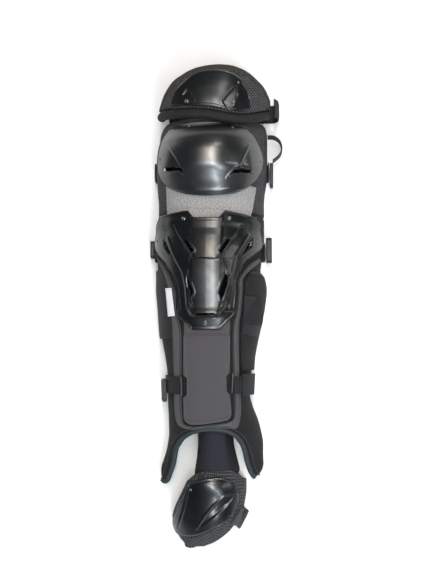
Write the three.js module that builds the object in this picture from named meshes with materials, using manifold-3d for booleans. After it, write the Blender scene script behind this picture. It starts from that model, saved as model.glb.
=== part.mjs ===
// Catcher leg guard, one of a pair, lying on its back with the shells up.
// Millimetres. X runs across the guard, Y from toe to thigh, Z up.
import * as THREE from 'three';
import Module from 'manifold-3d';
import { mergeVertices } from 'three/addons/utils/BufferGeometryUtils.js';

const wasm = await Module();
wasm.setup();

// Overall sizes
const guardLength = 660;
const halfWidth = 80;
const guardHeight = 120;

// Wall and layer sizes
const floorGap = 2.8;
const layerGap = 0.9;
const thighPadThickness = 12;
const kneePadThickness = 11;
const bodyThickness = 9;
const flareThickness = 7;
const toePadThickness = 8;
const tongueThickness = 5;
const shellThickness = 2.8;
const panelThickness = 2;
const shinPanelThickness = 5.4;
const wingThickness = 3.8;
const patchThickness = 1.4;
const flapThickness = 2.4;
const borderThickness = 2.4;
const labelThickness = 0.6;
const rollRadius = 6.5;
const bindingRadius = 3.6;
const strapThickness = 1.8;
const strapWidth = 25;
const ankleStrapWidth = 23;
const clipThickness = 5;
const clipHeight = 24;
const rivetRadius = 3;
const rivetHeight = 1.6;
const smallRivetRadius = 2;
const upperKeelRise = 8.5;
const lowerKeelRise = 7;
const padEdgeDrop = 5;
const padEdgeRadius = 11;
const panelEdgeDrop = 2.6;

const percentX = halfWidth / 100;
const percentY = guardLength / 100;
const percentZ = guardHeight / 100;

const finish = (name, color, roughness, metalness = 0) => (
  new THREE.MeshStandardMaterial({ name, color, roughness, metalness })
);
const gloss = (name) => finish(name, 0x101215, 0.18);
const fabric = (name, color) => finish(name, color, 0.9);
const plastic = (name) => finish(name, 0x0d0d0f, 0.45);

const materials = {
  shell: gloss('gloss_shell'),
  mesh: fabric('mesh_fabric', 0x26282c),
  melange: fabric('grey_melange', 0x7d7a7c),
  knit: fabric('charcoal_knit', 0x3b3a3e),
  navy: fabric('navy_knit', 0x1c1f2b),
  elastic: fabric('black_elastic', 0x0c0c0e),
  binding: fabric('rubber_binding', 0x3a4246),
  label: fabric('white_label', 0xe9e9ea),
  plastic: plastic('black_plastic'),
  steel: finish('dark_steel', 0x55585c, 0.35, 0.9),
};

// Each form is the outer face of a padded trough: a table of sections along its run.
// at: percent of the length, left and right: percent of the half width,
// top: percent of the height, power: roundness of the section.
const legForm = makeForm([
  [35.3, 82.5, 90, 55, 2.3],
  [34.1, 87.5, 95, 62.5, 2.3],
  [32.6, 91.2, 96.2, 72.5, 2.3],
  [31.1, 92.5, 96.2, 83.3, 2.25],
  [28.8, 96.2, 96.2, 94.2, 2.2],
  [26.5, 97.5, 96.2, 98.3, 2.2],
  [24.2, 97.5, 96.2, 97.5, 2.2],
  [22, 96.2, 93.8, 91.7, 2.2],
  [20, 95, 91.2, 82.5, 2.25],
  [17.9, 93.8, 90, 72.5, 2.35],
  [16.4, 93.8, 90, 70, 2.4],
  [14.4, 95, 90, 70.8, 2.4],
  [11.4, 97.5, 90, 73.3, 2.4],
  [8.3, 97.5, 88.1, 75.8, 2.35],
  [3.8, 95, 83.8, 76.7, 2.3],
  [0, 95, 88.8, 75, 2.3],
  [-3.8, 91.9, 85, 72.5, 2.3],
  [-9.1, 88.8, 76.2, 69.2, 2.3],
  [-14.4, 81.2, 68.1, 66.7, 2.35],
  [-18.2, 77.5, 66.2, 65, 2.4],
  [-22, 76.9, 65, 63.3, 2.4],
  [-24.2, 76.2, 68.8, 62.5, 2.4],
  [-27.3, 75, 78.8, 61.7, 2.4],
  [-29.5, 75, 83.8, 59.2, 2.35],
  [-32.1, 77.5, 87.5, 50, 2.3],
  [-35.6, 85, 88.1, 38.3, 2.3],
  [-37.9, 93.1, 90, 31.7, 2.25],
  [-39.7, 96.9, 91.2, 25.8, 2.2],
  [-41.7, 97.5, 91.2, 20.8, 2.2],
]);

const thighForm = makeForm([
  [47, 90, 96.2, 60, 2.35],
  [45.5, 91.2, 98.8, 64.2, 2.35],
  [42.7, 93.8, 102.5, 71.7, 2.35],
  [39.7, 95, 103.8, 77.5, 2.35],
  [36.4, 95, 102.5, 80.8, 2.35],
  [32.6, 92.5, 100, 80.8, 2.35],
]);

const tongueForm = makeForm([
  [-25.8, 33.8, 33.8, 55.2, 2.2],
  [-27.3, 33.8, 33.8, 54.7, 2.2],
  [-29.5, 33.8, 33.8, 52.9, 2.2],
  [-31.8, 34.2, 35.4, 50.2, 2.2],
  [-34.1, 36.2, 40, 48.6, 2.2],
  [-38.2, 41.2, 47.5, 46.7, 2.2],
], 7.5 * percentX);

const toeForm = makeForm([
  [-2.1, 47.5, 47.5, 43.3, 2.2],
  [0, 52.5, 52.5, 46.7, 2.2],
  [3, 60, 60, 50.8, 2.2],
  [6.8, 62.5, 62.5, 46.7, 2.2],
  [10.6, 55, 57.5, 36.7, 2.2],
  [13.6, 41.2, 45, 25.8, 2.2],
  [15.8, 27.5, 30, 15.8, 2.2],
  [17, 15, 16.2, 10, 2.2],
], 0, { origin: [7.5, -37.3], heading: [-0.3, -0.954] });

function makeForm(rows, centre = 0, frame = null) {
  const stations = rows
    .map(([at, left, right, top, power]) => (
      [at * percentY, left * percentX, right * percentX, top * percentZ, power]
    ))
    .sort((a, b) => a[0] - b[0]);
  const axis = frame
    ? {
      x: frame.origin[0] * percentX,
      y: frame.origin[1] * percentY,
      dx: frame.heading[0],
      dy: frame.heading[1],
    }
    : null;
  return { stations, centre, axis };
}

// Smooth value of one column at a place along the run
function sectionAt(form, along) {
  const rows = form.stations;
  const last = rows.length - 1;
  if (along <= rows[0][0]) return rows[0].slice(1);
  if (along >= rows[last][0]) return rows[last].slice(1);
  let i = 0;
  while (rows[i + 1][0] < along) i += 1;
  const span = rows[i + 1][0] - rows[i][0];
  const s = (along - rows[i][0]) / span;
  const slope = (k, c) => {
    if (k <= 0 || k >= last) return 0;
    const before = (rows[k][c] - rows[k - 1][c]) / (rows[k][0] - rows[k - 1][0]);
    const after = (rows[k + 1][c] - rows[k][c]) / (rows[k + 1][0] - rows[k][0]);
    return before * after <= 0 ? 0 : (2 * before * after) / (before + after);
  };
  return [1, 2, 3, 4].map((c) => {
    const a = rows[i][c];
    const b = rows[i + 1][c];
    const h00 = 2 * s ** 3 - 3 * s ** 2 + 1;
    const h10 = s ** 3 - 2 * s ** 2 + s;
    const h01 = -2 * s ** 3 + 3 * s ** 2;
    const h11 = s ** 3 - s ** 2;
    return h00 * a + h10 * span * slope(i, c) + h01 * b + h11 * span * slope(i + 1, c);
  });
}

// Point of the form: turn 0 is the left floor edge, 1 the right floor edge
function skin(form, turn, along) {
  const [left, right, top, power] = sectionAt(form, along);
  const angle = Math.PI * (1 - turn);
  const c = Math.cos(angle);
  const s = Math.max(Math.sin(angle), 0);
  const across = Math.sign(c) * (c < 0 ? left : right) * Math.abs(c) ** (2 / power);
  const z = floorGap + (top - floorGap) * s ** (2 / power);
  if (!form.axis) return new THREE.Vector3(form.centre + across, along, z);
  const { x, y, dx, dy } = form.axis;
  return new THREE.Vector3(x + dx * along - dy * across, y + dy * along + dx * across, z);
}

function skinNormal(form, turn, along) {
  const e = 0.002;
  const a = Math.min(Math.max(turn, e), 1 - e);
  const du = skin(form, a + e, along).sub(skin(form, a - e, along));
  const dv = skin(form, a, along + 1).sub(skin(form, a, along - 1));
  const n = du.cross(dv).normalize();
  const outward = skin(form, a, along).sub(skin(form, 0.5, along).setZ(0));
  if (n.dot(outward) < 0) n.negate();
  return n;
}

function lifted(form, turn, along, offset) {
  return skin(form, turn, along).addScaledVector(skinNormal(form, turn, along), offset);
}

// Turn and run of the place whose lifted point stands over a plan point
function locate(form, x, y, offset) {
  const guess = form.axis
    ? (x - form.axis.x) * form.axis.dx + (y - form.axis.y) * form.axis.dy
    : y;
  const side = (p) => (form.axis
    ? -(p.x - form.axis.x) * form.axis.dy + (p.y - form.axis.y) * form.axis.dx
    : p.x);
  const wanted = form.axis
    ? -(x - form.axis.x) * form.axis.dy + (y - form.axis.y) * form.axis.dx
    : x;
  const runOf = (p) => (form.axis
    ? (p.x - form.axis.x) * form.axis.dx + (p.y - form.axis.y) * form.axis.dy
    : p.y);
  let along = guess;
  let turn = 0.5;
  for (let round = 0; round < 5; round += 1) {
    let low = 0;
    let high = 1;
    for (let step = 0; step < 24; step += 1) {
      turn = (low + high) / 2;
      if (side(lifted(form, turn, along, offset)) < wanted) low = turn;
      else high = turn;
    }
    along += guess - runOf(lifted(form, turn, along, offset));
  }
  return [turn, along];
}

const scaled = (points) => points.map(([x, y]) => [x * percentX, y * percentY]);

// An edge of a patch: a smooth or a straight-sided line through plan points
function edge(points, smooth = true) {
  const list = scaled(points).map(([x, y]) => new THREE.Vector3(x, y, 0));
  if (smooth) {
    const curve = new THREE.CatmullRomCurve3(list, false, 'centripetal');
    return (s) => {
      const p = curve.getPointAt(Math.min(Math.max(s, 0), 1));
      return [p.x, p.y];
    };
  }
  const path = new THREE.CurvePath();
  for (let i = 0; i + 1 < list.length; i += 1) path.add(new THREE.LineCurve3(list[i], list[i + 1]));
  return (s) => {
    const p = path.getPointAt(Math.min(Math.max(s, 0), 1));
    return [p.x, p.y];
  };
}

function evenly(count, margin = 0) {
  const list = [0];
  const start = margin > 0 ? margin : 1 / count;
  if (margin > 0) {
    for (let i = 0; i <= count; i += 1) list.push(start + (1 - 2 * start) * (i / count));
    list.push(1);
    return list;
  }
  for (let i = 1; i <= count; i += 1) list.push(i / count);
  return list;
}

// Grid of form places filling the space inside four edges
function filled(form, sides, us, vs, offset) {
  const { bottom, top, left, right } = sides;
  const at = ([x, y]) => locate(form, x, y, offset);
  const low = us.map((u) => at(bottom(u)));
  const high = us.map((u) => at(top(u)));
  const near = vs.map((v) => at(left(v)));
  const far = vs.map((v) => at(right(v)));
  const end = us.length - 1;
  return vs.map((v, j) => us.map((u, i) => [0, 1].map((k) => (
    (1 - v) * low[i][k] + v * high[i][k] + (1 - u) * near[j][k] + u * far[j][k]
    - (1 - u) * (1 - v) * low[0][k] - u * (1 - v) * low[end][k]
    - (1 - u) * v * high[0][k] - u * v * high[end][k]
  ))));
}

// Grid of form places through a table of plan points, each row subdivided
function woven(form, rows, acrossSteps, alongSteps, offset) {
  const plan = [];
  const mix = (a, b, s) => a.map((v, k) => v + (b[k] - v) * s);
  rows.forEach((row, r) => {
    const fine = [];
    row.forEach((p, c) => {
      fine.push(p);
      if (c + 1 < row.length) {
        for (let i = 1; i < acrossSteps[c]; i += 1) fine.push(mix(p, row[c + 1], i / acrossSteps[c]));
      }
    });
    plan.push(fine);
  });
  const grid = [];
  plan.forEach((row, r) => {
    grid.push(row);
    if (r + 1 < plan.length) {
      for (let i = 1; i < alongSteps[r]; i += 1) {
        grid.push(row.map((p, c) => mix(p, plan[r + 1][c], i / alongSteps[r])));
      }
    }
  });
  return grid.map((row) => row.map(([x, y, rise = 0]) => (
    [...locate(form, x * percentX, y * percentY, offset), rise]
  )));
}

// Closed body between two faces of a grid
function closedBody(outer, inner) {
  const rows = outer.length;
  const cols = outer[0].length;
  const points = [...outer.flat(), ...inner.flat()];
  const shift = rows * cols;
  const index = [];
  const quad = (a, b, c, d) => index.push(a, b, c, a, c, d);
  for (let r = 0; r + 1 < rows; r += 1) {
    for (let c = 0; c + 1 < cols; c += 1) {
      const a = r * cols + c;
      quad(a, a + 1, a + cols + 1, a + cols);
      quad(shift + a + cols, shift + a + cols + 1, shift + a + 1, shift + a);
    }
  }
  for (let c = 0; c + 1 < cols; c += 1) {
    quad(c + 1, c, shift + c, shift + c + 1);
    const t = (rows - 1) * cols + c;
    quad(t, t + 1, shift + t + 1, shift + t);
  }
  for (let r = 0; r + 1 < rows; r += 1) {
    const l = r * cols;
    quad(l, l + cols, shift + l + cols, shift + l);
    const e = r * cols + cols - 1;
    quad(e + cols, e, shift + e, shift + e + cols);
  }
  let volume = 0;
  for (let i = 0; i < index.length; i += 3) {
    const [a, b, c] = [points[index[i]], points[index[i + 1]], points[index[i + 2]]];
    volume += a.dot(b.clone().cross(c));
  }
  if (volume < 0) {
    for (let i = 0; i < index.length; i += 3) [index[i], index[i + 1]] = [index[i + 1], index[i]];
  }
  const geometry = new THREE.BufferGeometry();
  const places = points.flatMap((p) => [p.x, p.y, p.z]);
  geometry.setAttribute('position', new THREE.Float32BufferAttribute(places, 3));
  geometry.setIndex(index);
  return geometry;
}

// Layer on a form: a grid of places, the height of its lower face and its thickness
function layer(form, grid, base, thickness, soft = null) {
  const rows = grid.length;
  const cols = grid[0].length;
  const middle = grid[rows >> 1];
  const corner = (place) => skin(form, ...place.slice(0, 2));
  const width = soft ? corner(middle[0]).distanceTo(corner(middle[cols - 1])) * 1.3 : 1;
  const height = soft ? Math.abs(grid[0][cols >> 1][1] - grid[rows - 1][cols >> 1][1]) : 1;
  const outer = grid.map((row, r) => row.map(([turn, along, rise = 0], c) => {
    let drop = 0;
    if (soft) {
      const u = soft.us[c];
      const v = soft.vs[r];
      const reach = Math.min(Math.min(u, 1 - u) * width, Math.min(v, 1 - v) * height) / soft.radius;
      const open = 1 - Math.min(reach, 1);
      drop = soft.drop * (1 - Math.sqrt(1 - open * open));
    }
    const under = typeof base === 'function' ? base(turn, along) : base;
    return lifted(form, turn, along, under + rise + thickness - drop);
  }));
  const inner = grid.map((row) => row.map(([turn, along, rise = 0]) => {
    const under = typeof base === 'function' ? base(turn, along) : base;
    return lifted(form, turn, along, under + rise);
  }));
  return closedBody(outer, inner);
}

// Flat band along a path of points, each with the direction of its thickness
function band(stations, widthStep, thickness) {
  const half = widthStep.clone().multiplyScalar(0.5);
  const outer = stations.map(({ point, out }) => [
    point.clone().addScaledVector(out, thickness).sub(half),
    point.clone().addScaledVector(out, thickness).add(half),
  ]);
  const inner = stations.map(({ point }) => [point.clone().sub(half), point.clone().add(half)]);
  return closedBody(outer, inner);
}

function tube(points, radius, steps, sides) {
  const curve = new THREE.CatmullRomCurve3(points, false, 'centripetal');
  const ring = new THREE.Shape();
  for (let i = 0; i < sides; i += 1) {
    const a = (2 * Math.PI * i) / sides;
    if (i === 0) ring.moveTo(radius * Math.cos(a), radius * Math.sin(a));
    else ring.lineTo(radius * Math.cos(a), radius * Math.sin(a));
  }
  ring.closePath();
  return new THREE.ExtrudeGeometry(ring, {
    steps, bevelEnabled: false, extrudePath: curve, curveSegments: 1,
  });
}

function solid(geometry) {
  const plain = geometry.clone();
  plain.deleteAttribute('normal');
  plain.deleteAttribute('uv');
  const merged = mergeVertices(plain, 1e-4);
  return new wasm.Manifold(new wasm.Mesh({
    numProp: 3,
    vertProperties: new Float32Array(merged.attributes.position.array),
    triVerts: new Uint32Array(merged.index.array),
  }));
}

function fromSolid(shape) {
  const mesh = shape.getMesh();
  const geometry = new THREE.BufferGeometry();
  geometry.setAttribute('position', new THREE.Float32BufferAttribute(Array.from(mesh.vertProperties), 3));
  geometry.setIndex(Array.from(mesh.triVerts));
  return geometry;
}

// Opening with straight sides, cut down through a shell
function vents(geometry, outlines) {
  let shape = solid(geometry);
  for (const outline of outlines) {
    const flat = new THREE.Shape(scaled(outline).map(([x, y]) => new THREE.Vector2(x, y)));
    const tool = new THREE.ExtrudeGeometry(flat, { depth: 2 * guardHeight, bevelEnabled: false });
    shape = shape.subtract(solid(tool));
  }
  return fromSolid(shape);
}

const guard = new THREE.Group();
guard.name = 'leg_guard';

function add(name, geometry, material) {
  geometry.computeVertexNormals();
  const mesh = new THREE.Mesh(geometry, material);
  mesh.name = name;
  guard.add(mesh);
  return mesh;
}

// Thigh cap: padded dome, hard shell and the rolled lower hem
const thighSides = {
  bottom: edge([
    [-91.2, 37.3], [-57.5, 36.3], [-25, 35.9], [0, 35.6], [20, 35.2], [42.5, 34.9], [65, 35.2],
    [85, 36.1], [102.5, 37.9],
  ]),
  top: edge([
    [-90, 38.3], [-78.8, 40.7], [-62.5, 43], [-41.2, 44.7], [-16.2, 45.8], [11.2, 46.2],
    [38.8, 45.9], [61.3, 45], [77.5, 43.6], [92.5, 42], [102.5, 40.3],
  ]),
  left: edge([[-91.2, 37.3], [-90, 38.3]], false),
  right: edge([[102.5, 37.9], [102.5, 40.3]], false),
};
const thighUs = [
  0, 0.03, 0.07, 0.13, 0.2, 0.28, 0.36, 0.44, 0.52, 0.6, 0.68, 0.76, 0.83, 0.89, 0.94, 0.97, 1,
];
const thighVs = [0, 0.06, 0.3, 0.55, 0.72, 0.84, 0.93, 1];
const thighGrid = filled(thighForm, thighSides, thighUs, thighVs, 0);
add('thigh_pad', layer(
  thighForm,
  thighGrid,
  -thighPadThickness,
  thighPadThickness,
  { us: thighUs, vs: thighVs.map((v) => 0.5 + v / 2), drop: padEdgeDrop, radius: padEdgeRadius },
), materials.mesh);

// A cord laid along the edge of a padded piece, clear of it
function alongEdge(form, places, depth, clear) {
  const points = places.map(([turn, along]) => lifted(form, turn, along, -depth));
  return points.map((p, i) => {
    const before = points[Math.max(i - 1, 0)];
    const after = points[Math.min(i + 1, points.length - 1)];
    const away = after.clone().sub(before).cross(skinNormal(form, ...places[i].slice(0, 2))).normalize();
    return p.clone().addScaledVector(away, clear);
  });
}
const rollSpine = alongEdge(thighForm, thighGrid[0], rollRadius - 2.5, rollRadius + layerGap);
add('thigh_roll', tube(rollSpine, rollRadius, 34, 9), materials.mesh);

const thighShellSides = {
  bottom: edge([
    [-66.2, 36.7], [-41.2, 36.4], [-21.2, 36.1], [3.8, 35.9], [22.5, 35.5], [41.2, 35.2], [55, 35.3],
    [70, 35.8],
  ]),
  top: edge([
    [-50, 40.6], [-40, 41.8], [-27.5, 43.1], [-11.2, 43.9], [10, 44.1], [30, 43.8], [45, 42.9],
    [53.8, 41.7],
  ]),
  left: edge([[-66.2, 36.7], [-63.7, 37.9], [-58.8, 39.2], [-50, 40.6]]),
  right: edge([[70, 35.8], [70, 37.4], [63.7, 39.5], [53.8, 41.7]]),
};
add('thigh_shell', layer(
  thighForm,
  filled(thighForm, thighShellSides, evenly(14), evenly(7), layerGap + shellThickness),
  layerGap,
  shellThickness,
), materials.shell);

// Knee cup: pad behind, domed shell in front, vents at its two arrow facets
const turnsAcross = [0, 0.06, 0.12, 0.19, 0.26, 0.34, 0.42, 0.5, 0.58, 0.66, 0.74, 0.81, 0.88, 0.94, 1];
const kneeRuns = [15.3, 15.8, 17, 18.8, 20.6, 22.7, 25, 27.3, 29.5, 31.4, 32.7, 34.1, 35];
add('knee_pad', layer(
  legForm,
  kneeRuns.map((run) => turnsAcross.map((turn) => [turn, run * percentY])),
  -kneePadThickness,
  kneePadThickness,
), materials.mesh);

const underShell = (low, high, edgeRun, span) => (turn, along) => {
  const s = Math.min(Math.max((along - edgeRun * percentY) / (span * percentY), 0), 1);
  return low + (high - low) * s * s * (3 - 2 * s);
};
const overPanel = 2 * layerGap + panelThickness + 0.2;
const shellSeat = 1.3 * layerGap;
const kneeShellSides = {
  bottom: edge([
    [-77.5, 20.9], [-63.7, 19.5], [-41.2, 18.4], [-11.2, 17.9], [18.8, 17.9], [40, 18.3],
    [61.3, 19.4], [77.5, 21.1],
  ]),
  top: edge([[-72.5, 32.3], [-57.5, 33.2], [-25, 33.8], [0, 33.8], [25, 33.5], [50, 32.8], [67.5, 32]]),
  left: edge([
    [-77.5, 20.9], [-85, 22.3], [-89.4, 23.9], [-90, 26.4], [-87.5, 28.6], [-82.5, 30.6],
    [-72.5, 32.3],
  ]),
  right: edge([[77.5, 21.1], [86.2, 22.6], [91.2, 24.4], [92.5, 26.4], [87.5, 28.6], [78.8, 30.6], [67.5, 32]]),
};
const kneeShell = layer(
  legForm,
  filled(legForm, kneeShellSides, evenly(16), evenly(14), overPanel + shellThickness),
  underShell(overPanel, layerGap, 20.6, 2.1),
  shellThickness,
);
add('knee_shell', vents(kneeShell, [
  [[-72.5, 23.5], [-45, 23.1], [-36.2, 21.7], [-45, 22.5], [-72.5, 23]],
  [[75, 22.8], [47.5, 22.5], [36.2, 21.3], [46.2, 23], [75, 23.3]],
]), materials.shell);

const kneePanelSides = {
  bottom: edge([[-68.8, 13], [66.2, 13]], false),
  top: edge([[-73.8, 20.5], [78.8, 20.3]], false),
  left: edge([[-68.8, 13], [-73.8, 15.8], [-73.8, 20.5]], false),
  right: edge([[66.2, 13], [71.2, 15.2], [78.8, 20.3]], false),
};
add('knee_panel', layer(
  legForm,
  filled(legForm, kneePanelSides, evenly(14), evenly(5), layerGap + panelThickness),
  layerGap,
  panelThickness,
), materials.melange);

// Shin body: the mesh trough from the knee to the two flares beside the ankle
const archEdge = [
    [-88.8, -36.4], [-89.4, -37.9], [-88.1, -39.1], [-83.8, -39.6], [-79.4, -38.9], [-71.9, -36.4],
    [-66.2, -32.7], [-51.2, -30.1], [-32.5, -28.7], [-11.2, -28], [12.5, -28], [32.5, -28.4],
    [49.4, -29.7], [61.3, -32.4], [66.9, -35.8], [73.1, -37.9], [78.8, -38.6], [83.8, -38],
    [86.2, -36.4],
  ];
const archPlaces = scaled(archEdge).map(([x, y], i) => {
  if (i === 0) return [0, y];
  if (i === archEdge.length - 1) return [1, y];
  return locate(legForm, x, y, 0);
});
const archSteps = [1, 1, 1, 1, 1, 1, 2, 2, 1, 1, 1, 2, 2, 1, 1, 1, 1, 1];
const archRow = [];
archPlaces.forEach((p, i) => {
  archRow.push(p);
  if (i < archSteps.length) {
    for (let k = 1; k < archSteps[i]; k += 1) {
      const s = k / archSteps[i];
      archRow.push([p[0] + (archPlaces[i + 1][0] - p[0]) * s, p[1] + (archPlaces[i + 1][1] - p[1]) * s]);
    }
  }
});
const shinTop = 15.1 * percentY;
const shinRuns = [0, 0.03, 0.09, 0.16, 0.24, 0.32, 0.4, 0.48, 0.56, 0.64, 0.72, 0.8, 0.87, 0.93, 0.97, 1];
const shinGrid = shinRuns.map((v) => archRow.map(([turn, along], i) => {
  const even = i / (archRow.length - 1);
  const mixTurn = even + (turn - even) * v ** 1.5;
  return [mixTurn, shinTop + (along - shinTop) * v];
}));
const shinFace = shinGrid.map((row) => row.map(([turn, along]) => lifted(legForm, turn, along, 0)));
const shinBack = shinGrid.map((row, r) => row.map(([turn, along]) => {
  const thin = Math.max(0, (shinRuns[r] - 0.7) / 0.3);
  return lifted(legForm, turn, along, -(bodyThickness + (flareThickness - bodyThickness) * thin));
}));
add('shin_body', closedBody(shinFace, shinBack), materials.mesh);

// Rubber binding along the arch over the foot
const bindingSpine = alongEdge(legForm, archRow.slice(1, -1), flareThickness / 2, bindingRadius + layerGap);
add('arch_binding', tube(bindingSpine, bindingRadius, 50, 7), materials.binding);

// Shin shell: flange, ridges and keel as a table of plan points with their rise
const shinTable = [
  [
    [-82.5, 14.7, 0], [-70, 14.8, 0], [-57.5, 15, 0], [-33.8, 15.2, 0.1], [-23.8, 13.6, 0.25],
    [-3.8, 13.6, 0.25], [16.2, 13.6, 0.25], [26.2, 15.1, 0.1], [45, 14.8, 0], [60, 14.5, 0],
    [76.2, 14.1, 0],
  ],
  [
    [-89.4, 13, 0], [-72.5, 12.7, 0], [-61.3, 12.4, 0.2], [-41.2, 12.4, 0.3], [-25, 12.3, 0.4],
    [-3.8, 12.3, 0.45], [17.5, 12.3, 0.4], [33.8, 12.3, 0.3], [53.8, 12.1, 0.2], [65, 12.1, 0],
    [82.5, 12.6, 0],
  ],
  [
    [-95, 10.8, 0], [-70, 10, 0.15], [-52.5, 10.2, 0.45], [-42.5, 10, 0.6], [-25, 10, 0.7],
    [-3.8, 10, 0.75], [17.5, 10, 0.7], [36.2, 10, 0.6], [45, 10.2, 0.45], [65, 10.3, 0.15],
    [86.9, 10.5, 0],
  ],
  [
    [-97.5, 9.1, 0], [-62.5, 7.6, 0.3], [-38.8, 7.9, 0.6], [-32.5, 7.9, 0.75], [-23.8, 7.9, 0.85],
    [-3.8, 7.9, 0.9], [16.2, 7.9, 0.85], [26.2, 7.9, 0.75], [32.5, 8.2, 0.6], [56.2, 8, 0.3],
    [87.5, 8.6, 0],
  ],
  [
    [-90, 7.1, 0], [-56.2, 5.9, 0.35], [-31.2, 6.2, 0.6], [-28.1, 6.1, 0.8], [-23.8, 5.9, 0.95],
    [-3.8, 5.8, 1], [17.5, 5.8, 0.95], [22.5, 6.1, 0.8], [25.6, 6.2, 0.6], [47.5, 6.2, 0.35],
    [77.5, 7, 0],
  ],
  [
    [-81.2, 5.8, 0], [-52.5, 5.2, 0.35], [-30, 5.5, 0.6], [-26.9, 5.5, 0.85], [-23.8, 5.5, 1],
    [-3.8, 5.4, 1], [17.5, 5.3, 1], [20.6, 5.5, 0.85], [23.8, 5.6, 0.6], [44.4, 5.5, 0.35],
    [68.1, 5.9, 0],
  ],
  [
    [-77.5, 5.2, 0], [-50.6, 4.8, 0.4], [-30.6, 5.1, 0.7], [-27.5, 5.1, 0.9], [-24.4, 5.1, 0.95],
    [-3.8, 5.1, 1], [17.5, 5, 0.95], [21.2, 5.1, 0.9], [24.4, 5.2, 0.7], [43.1, 5.1, 0.4],
    [63.7, 5.3, 0],
  ],
  [
    [-66.2, 3, 0], [-42.5, 2.9, 0.35], [-35, 2.7, 0.65], [-30, 2.7, 0.85], [-25, 2.7, 1],
    [-3.8, 2.7, 1.05], [18.1, 2.7, 1], [23.1, 2.7, 0.85], [30, 2.7, 0.65], [38.1, 2.6, 0.35],
    [53.8, 3.5, 0],
  ],
  [
    [-57.5, 0.9, 0], [-39.4, 0.9, 0.35], [-33.8, 0.8, 0.65], [-29.4, 0.8, 0.85], [-25, 0.8, 1],
    [-3.8, 0.8, 1.05], [17.5, 0.8, 1], [22.5, 0.8, 0.85], [28.1, 0.8, 0.65], [35, 0.8, 0.35],
    [45.6, 1.2, 0],
  ],
  [
    [-52.5, -1.2, 0], [-36.9, -1.2, 0.35], [-31.9, -1.2, 0.65], [-28.1, -1.2, 0.9], [-23.8, -1.2, 1.05],
    [-3.8, -1.2, 1.1], [16.9, -1.2, 1.05], [21.2, -1.2, 0.9], [26.2, -1.2, 0.65], [31.9, -1.2, 0.35],
    [45, -1.1, 0],
  ],
  [
    [-51.6, -4.5, 0], [-33.8, -4.2, 0.35], [-29.4, -4.1, 0.7], [-26.2, -4.1, 0.95], [-21.9, -4.1, 1.15],
    [-3.8, -4.1, 1.2], [15, -4.1, 1.15], [19.4, -4.1, 0.95], [23.1, -4.1, 0.7], [28.1, -4.1, 0.35],
    [41.9, -4.7, 0],
  ],
  [
    [-50.6, -5.6, 0], [-30.6, -5.5, 0.3], [-26.2, -5.4, 0.65], [-23.8, -5.4, 0.9], [-19.4, -5.5, 1.15],
    [-3.8, -5.5, 1.2], [9.4, -5.5, 1.15], [13.8, -5.4, 0.9], [18.1, -5.3, 0.65], [24.4, -5.3, 0.3],
    [40.6, -5.5, 0],
  ],
  [
    [-46.2, -6.4, 0], [-28.7, -6.2, 0.2], [-25, -6.1, 0.25], [-21.9, -6.1, 0.25], [-18.1, -6.2, 0.25],
    [-3.8, -6.2, 0.25], [8.8, -6.2, 0.25], [12.5, -6.1, 0.25], [16.2, -6.1, 0.25], [22.5, -6.1, 0.2],
    [37.5, -5.9, 0],
  ],
  [
    [-41.9, -6.9, 0], [-36.2, -7.5, 0], [-31.2, -8.1, 0], [-26.9, -8.6, 0], [-17.5, -8.6, 0],
    [-3.8, -8.6, 0], [8.8, -8.6, 0], [17.5, -8.6, 0], [25, -7.7, 0], [30, -7, 0], [35, -6.3, 0],
  ],
];
const upperRows = 6;
const shinPlaces = shinTable.map((row, i) => (
  row.map(([x, y, share]) => [x, y, share * (i < upperRows ? upperKeelRise : lowerKeelRise)])
));


const shinShellGrid = woven(
  legForm,
  shinPlaces,
  [3, 2, 1, 1, 2, 2, 1, 1, 2, 3],
  [1, 2, 1, 1, 1, 1, 1, 1, 1, 2, 1, 1, 1],
  layerGap + shellThickness,
);
const shinBase = (turn, along) => {
  const s = Math.min(Math.max((along - 11.2 * percentY) / (1.8 * percentY), 0), 1);
  const e = Math.min(Math.max((-3.9 * percentY - along) / (1.2 * percentY), 0), 1);
  return shellSeat + (overPanel - shellSeat) * Math.max(s * s * (3 - 2 * s), e * e * (3 - 2 * e));
};
const shinShell = layer(legForm, shinShellGrid, shinBase, shellThickness);
add('shin_shell', vents(shinShell, [
  [[-40, 9.1], [-35, 9.1], [-24.4, 7], [-28.1, 6.7]],
  [[35.6, 9.1], [30, 9.1], [18.8, 7], [21.9, 6.5]],
  [[-76.2, 9.7], [-72.5, 9.1], [-62.5, 6.5], [-67.5, 6.8]],
  [[70, 10], [68.8, 8], [55, 6.3], [58.8, 7.4]],
  [[-35, 2.1], [-26.2, -1.2], [-28.7, -2.1], [-35, 0.6]],
  [[28.7, 2.4], [32.5, 1.8], [25, -2.7], [19.4, -1.2]],
]), materials.shell);

// Knit panel on the lower shin and the mesh border round it
const lowerPanelSides = {
  bottom: edge([
    [-43.1, -25.8], [-41.2, -26.8], [-33.8, -27.5], [-25, -27.6], [0, -27.3], [25, -26.8],
    [32.5, -26.5], [36.2, -25.8], [36.9, -24.8],
  ]),
  top: edge([[-43.8, -5.9], [36.2, -5.8]], false),
  left: edge([
    [-43.1, -25.8], [-44.5, -22.1], [-38.8, -21.7], [-38.8, -17.9], [-44.5, -17.4], [-43.8, -5.9],
  ], false),
  right: edge([[36.9, -24.8], [35, -21.4], [30.2, -20.9], [30, -17.4], [35, -17], [36.2, -5.8]], false),
};
const lowerUs = [0, 0.04, 0.12, 0.3, 0.5, 0.7, 0.88, 0.96, 1];
const lowerVs = [0, 0.03, 0.09, 0.19, 0.215, 0.29, 0.4, 0.415, 0.43, 0.55, 0.7, 0.84, 0.87, 0.9, 0.93, 1];
const lowerGrid = filled(legForm, lowerPanelSides, lowerUs, lowerVs, layerGap + shinPanelThickness);
const underKeel = -9.1 * percentY;
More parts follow.
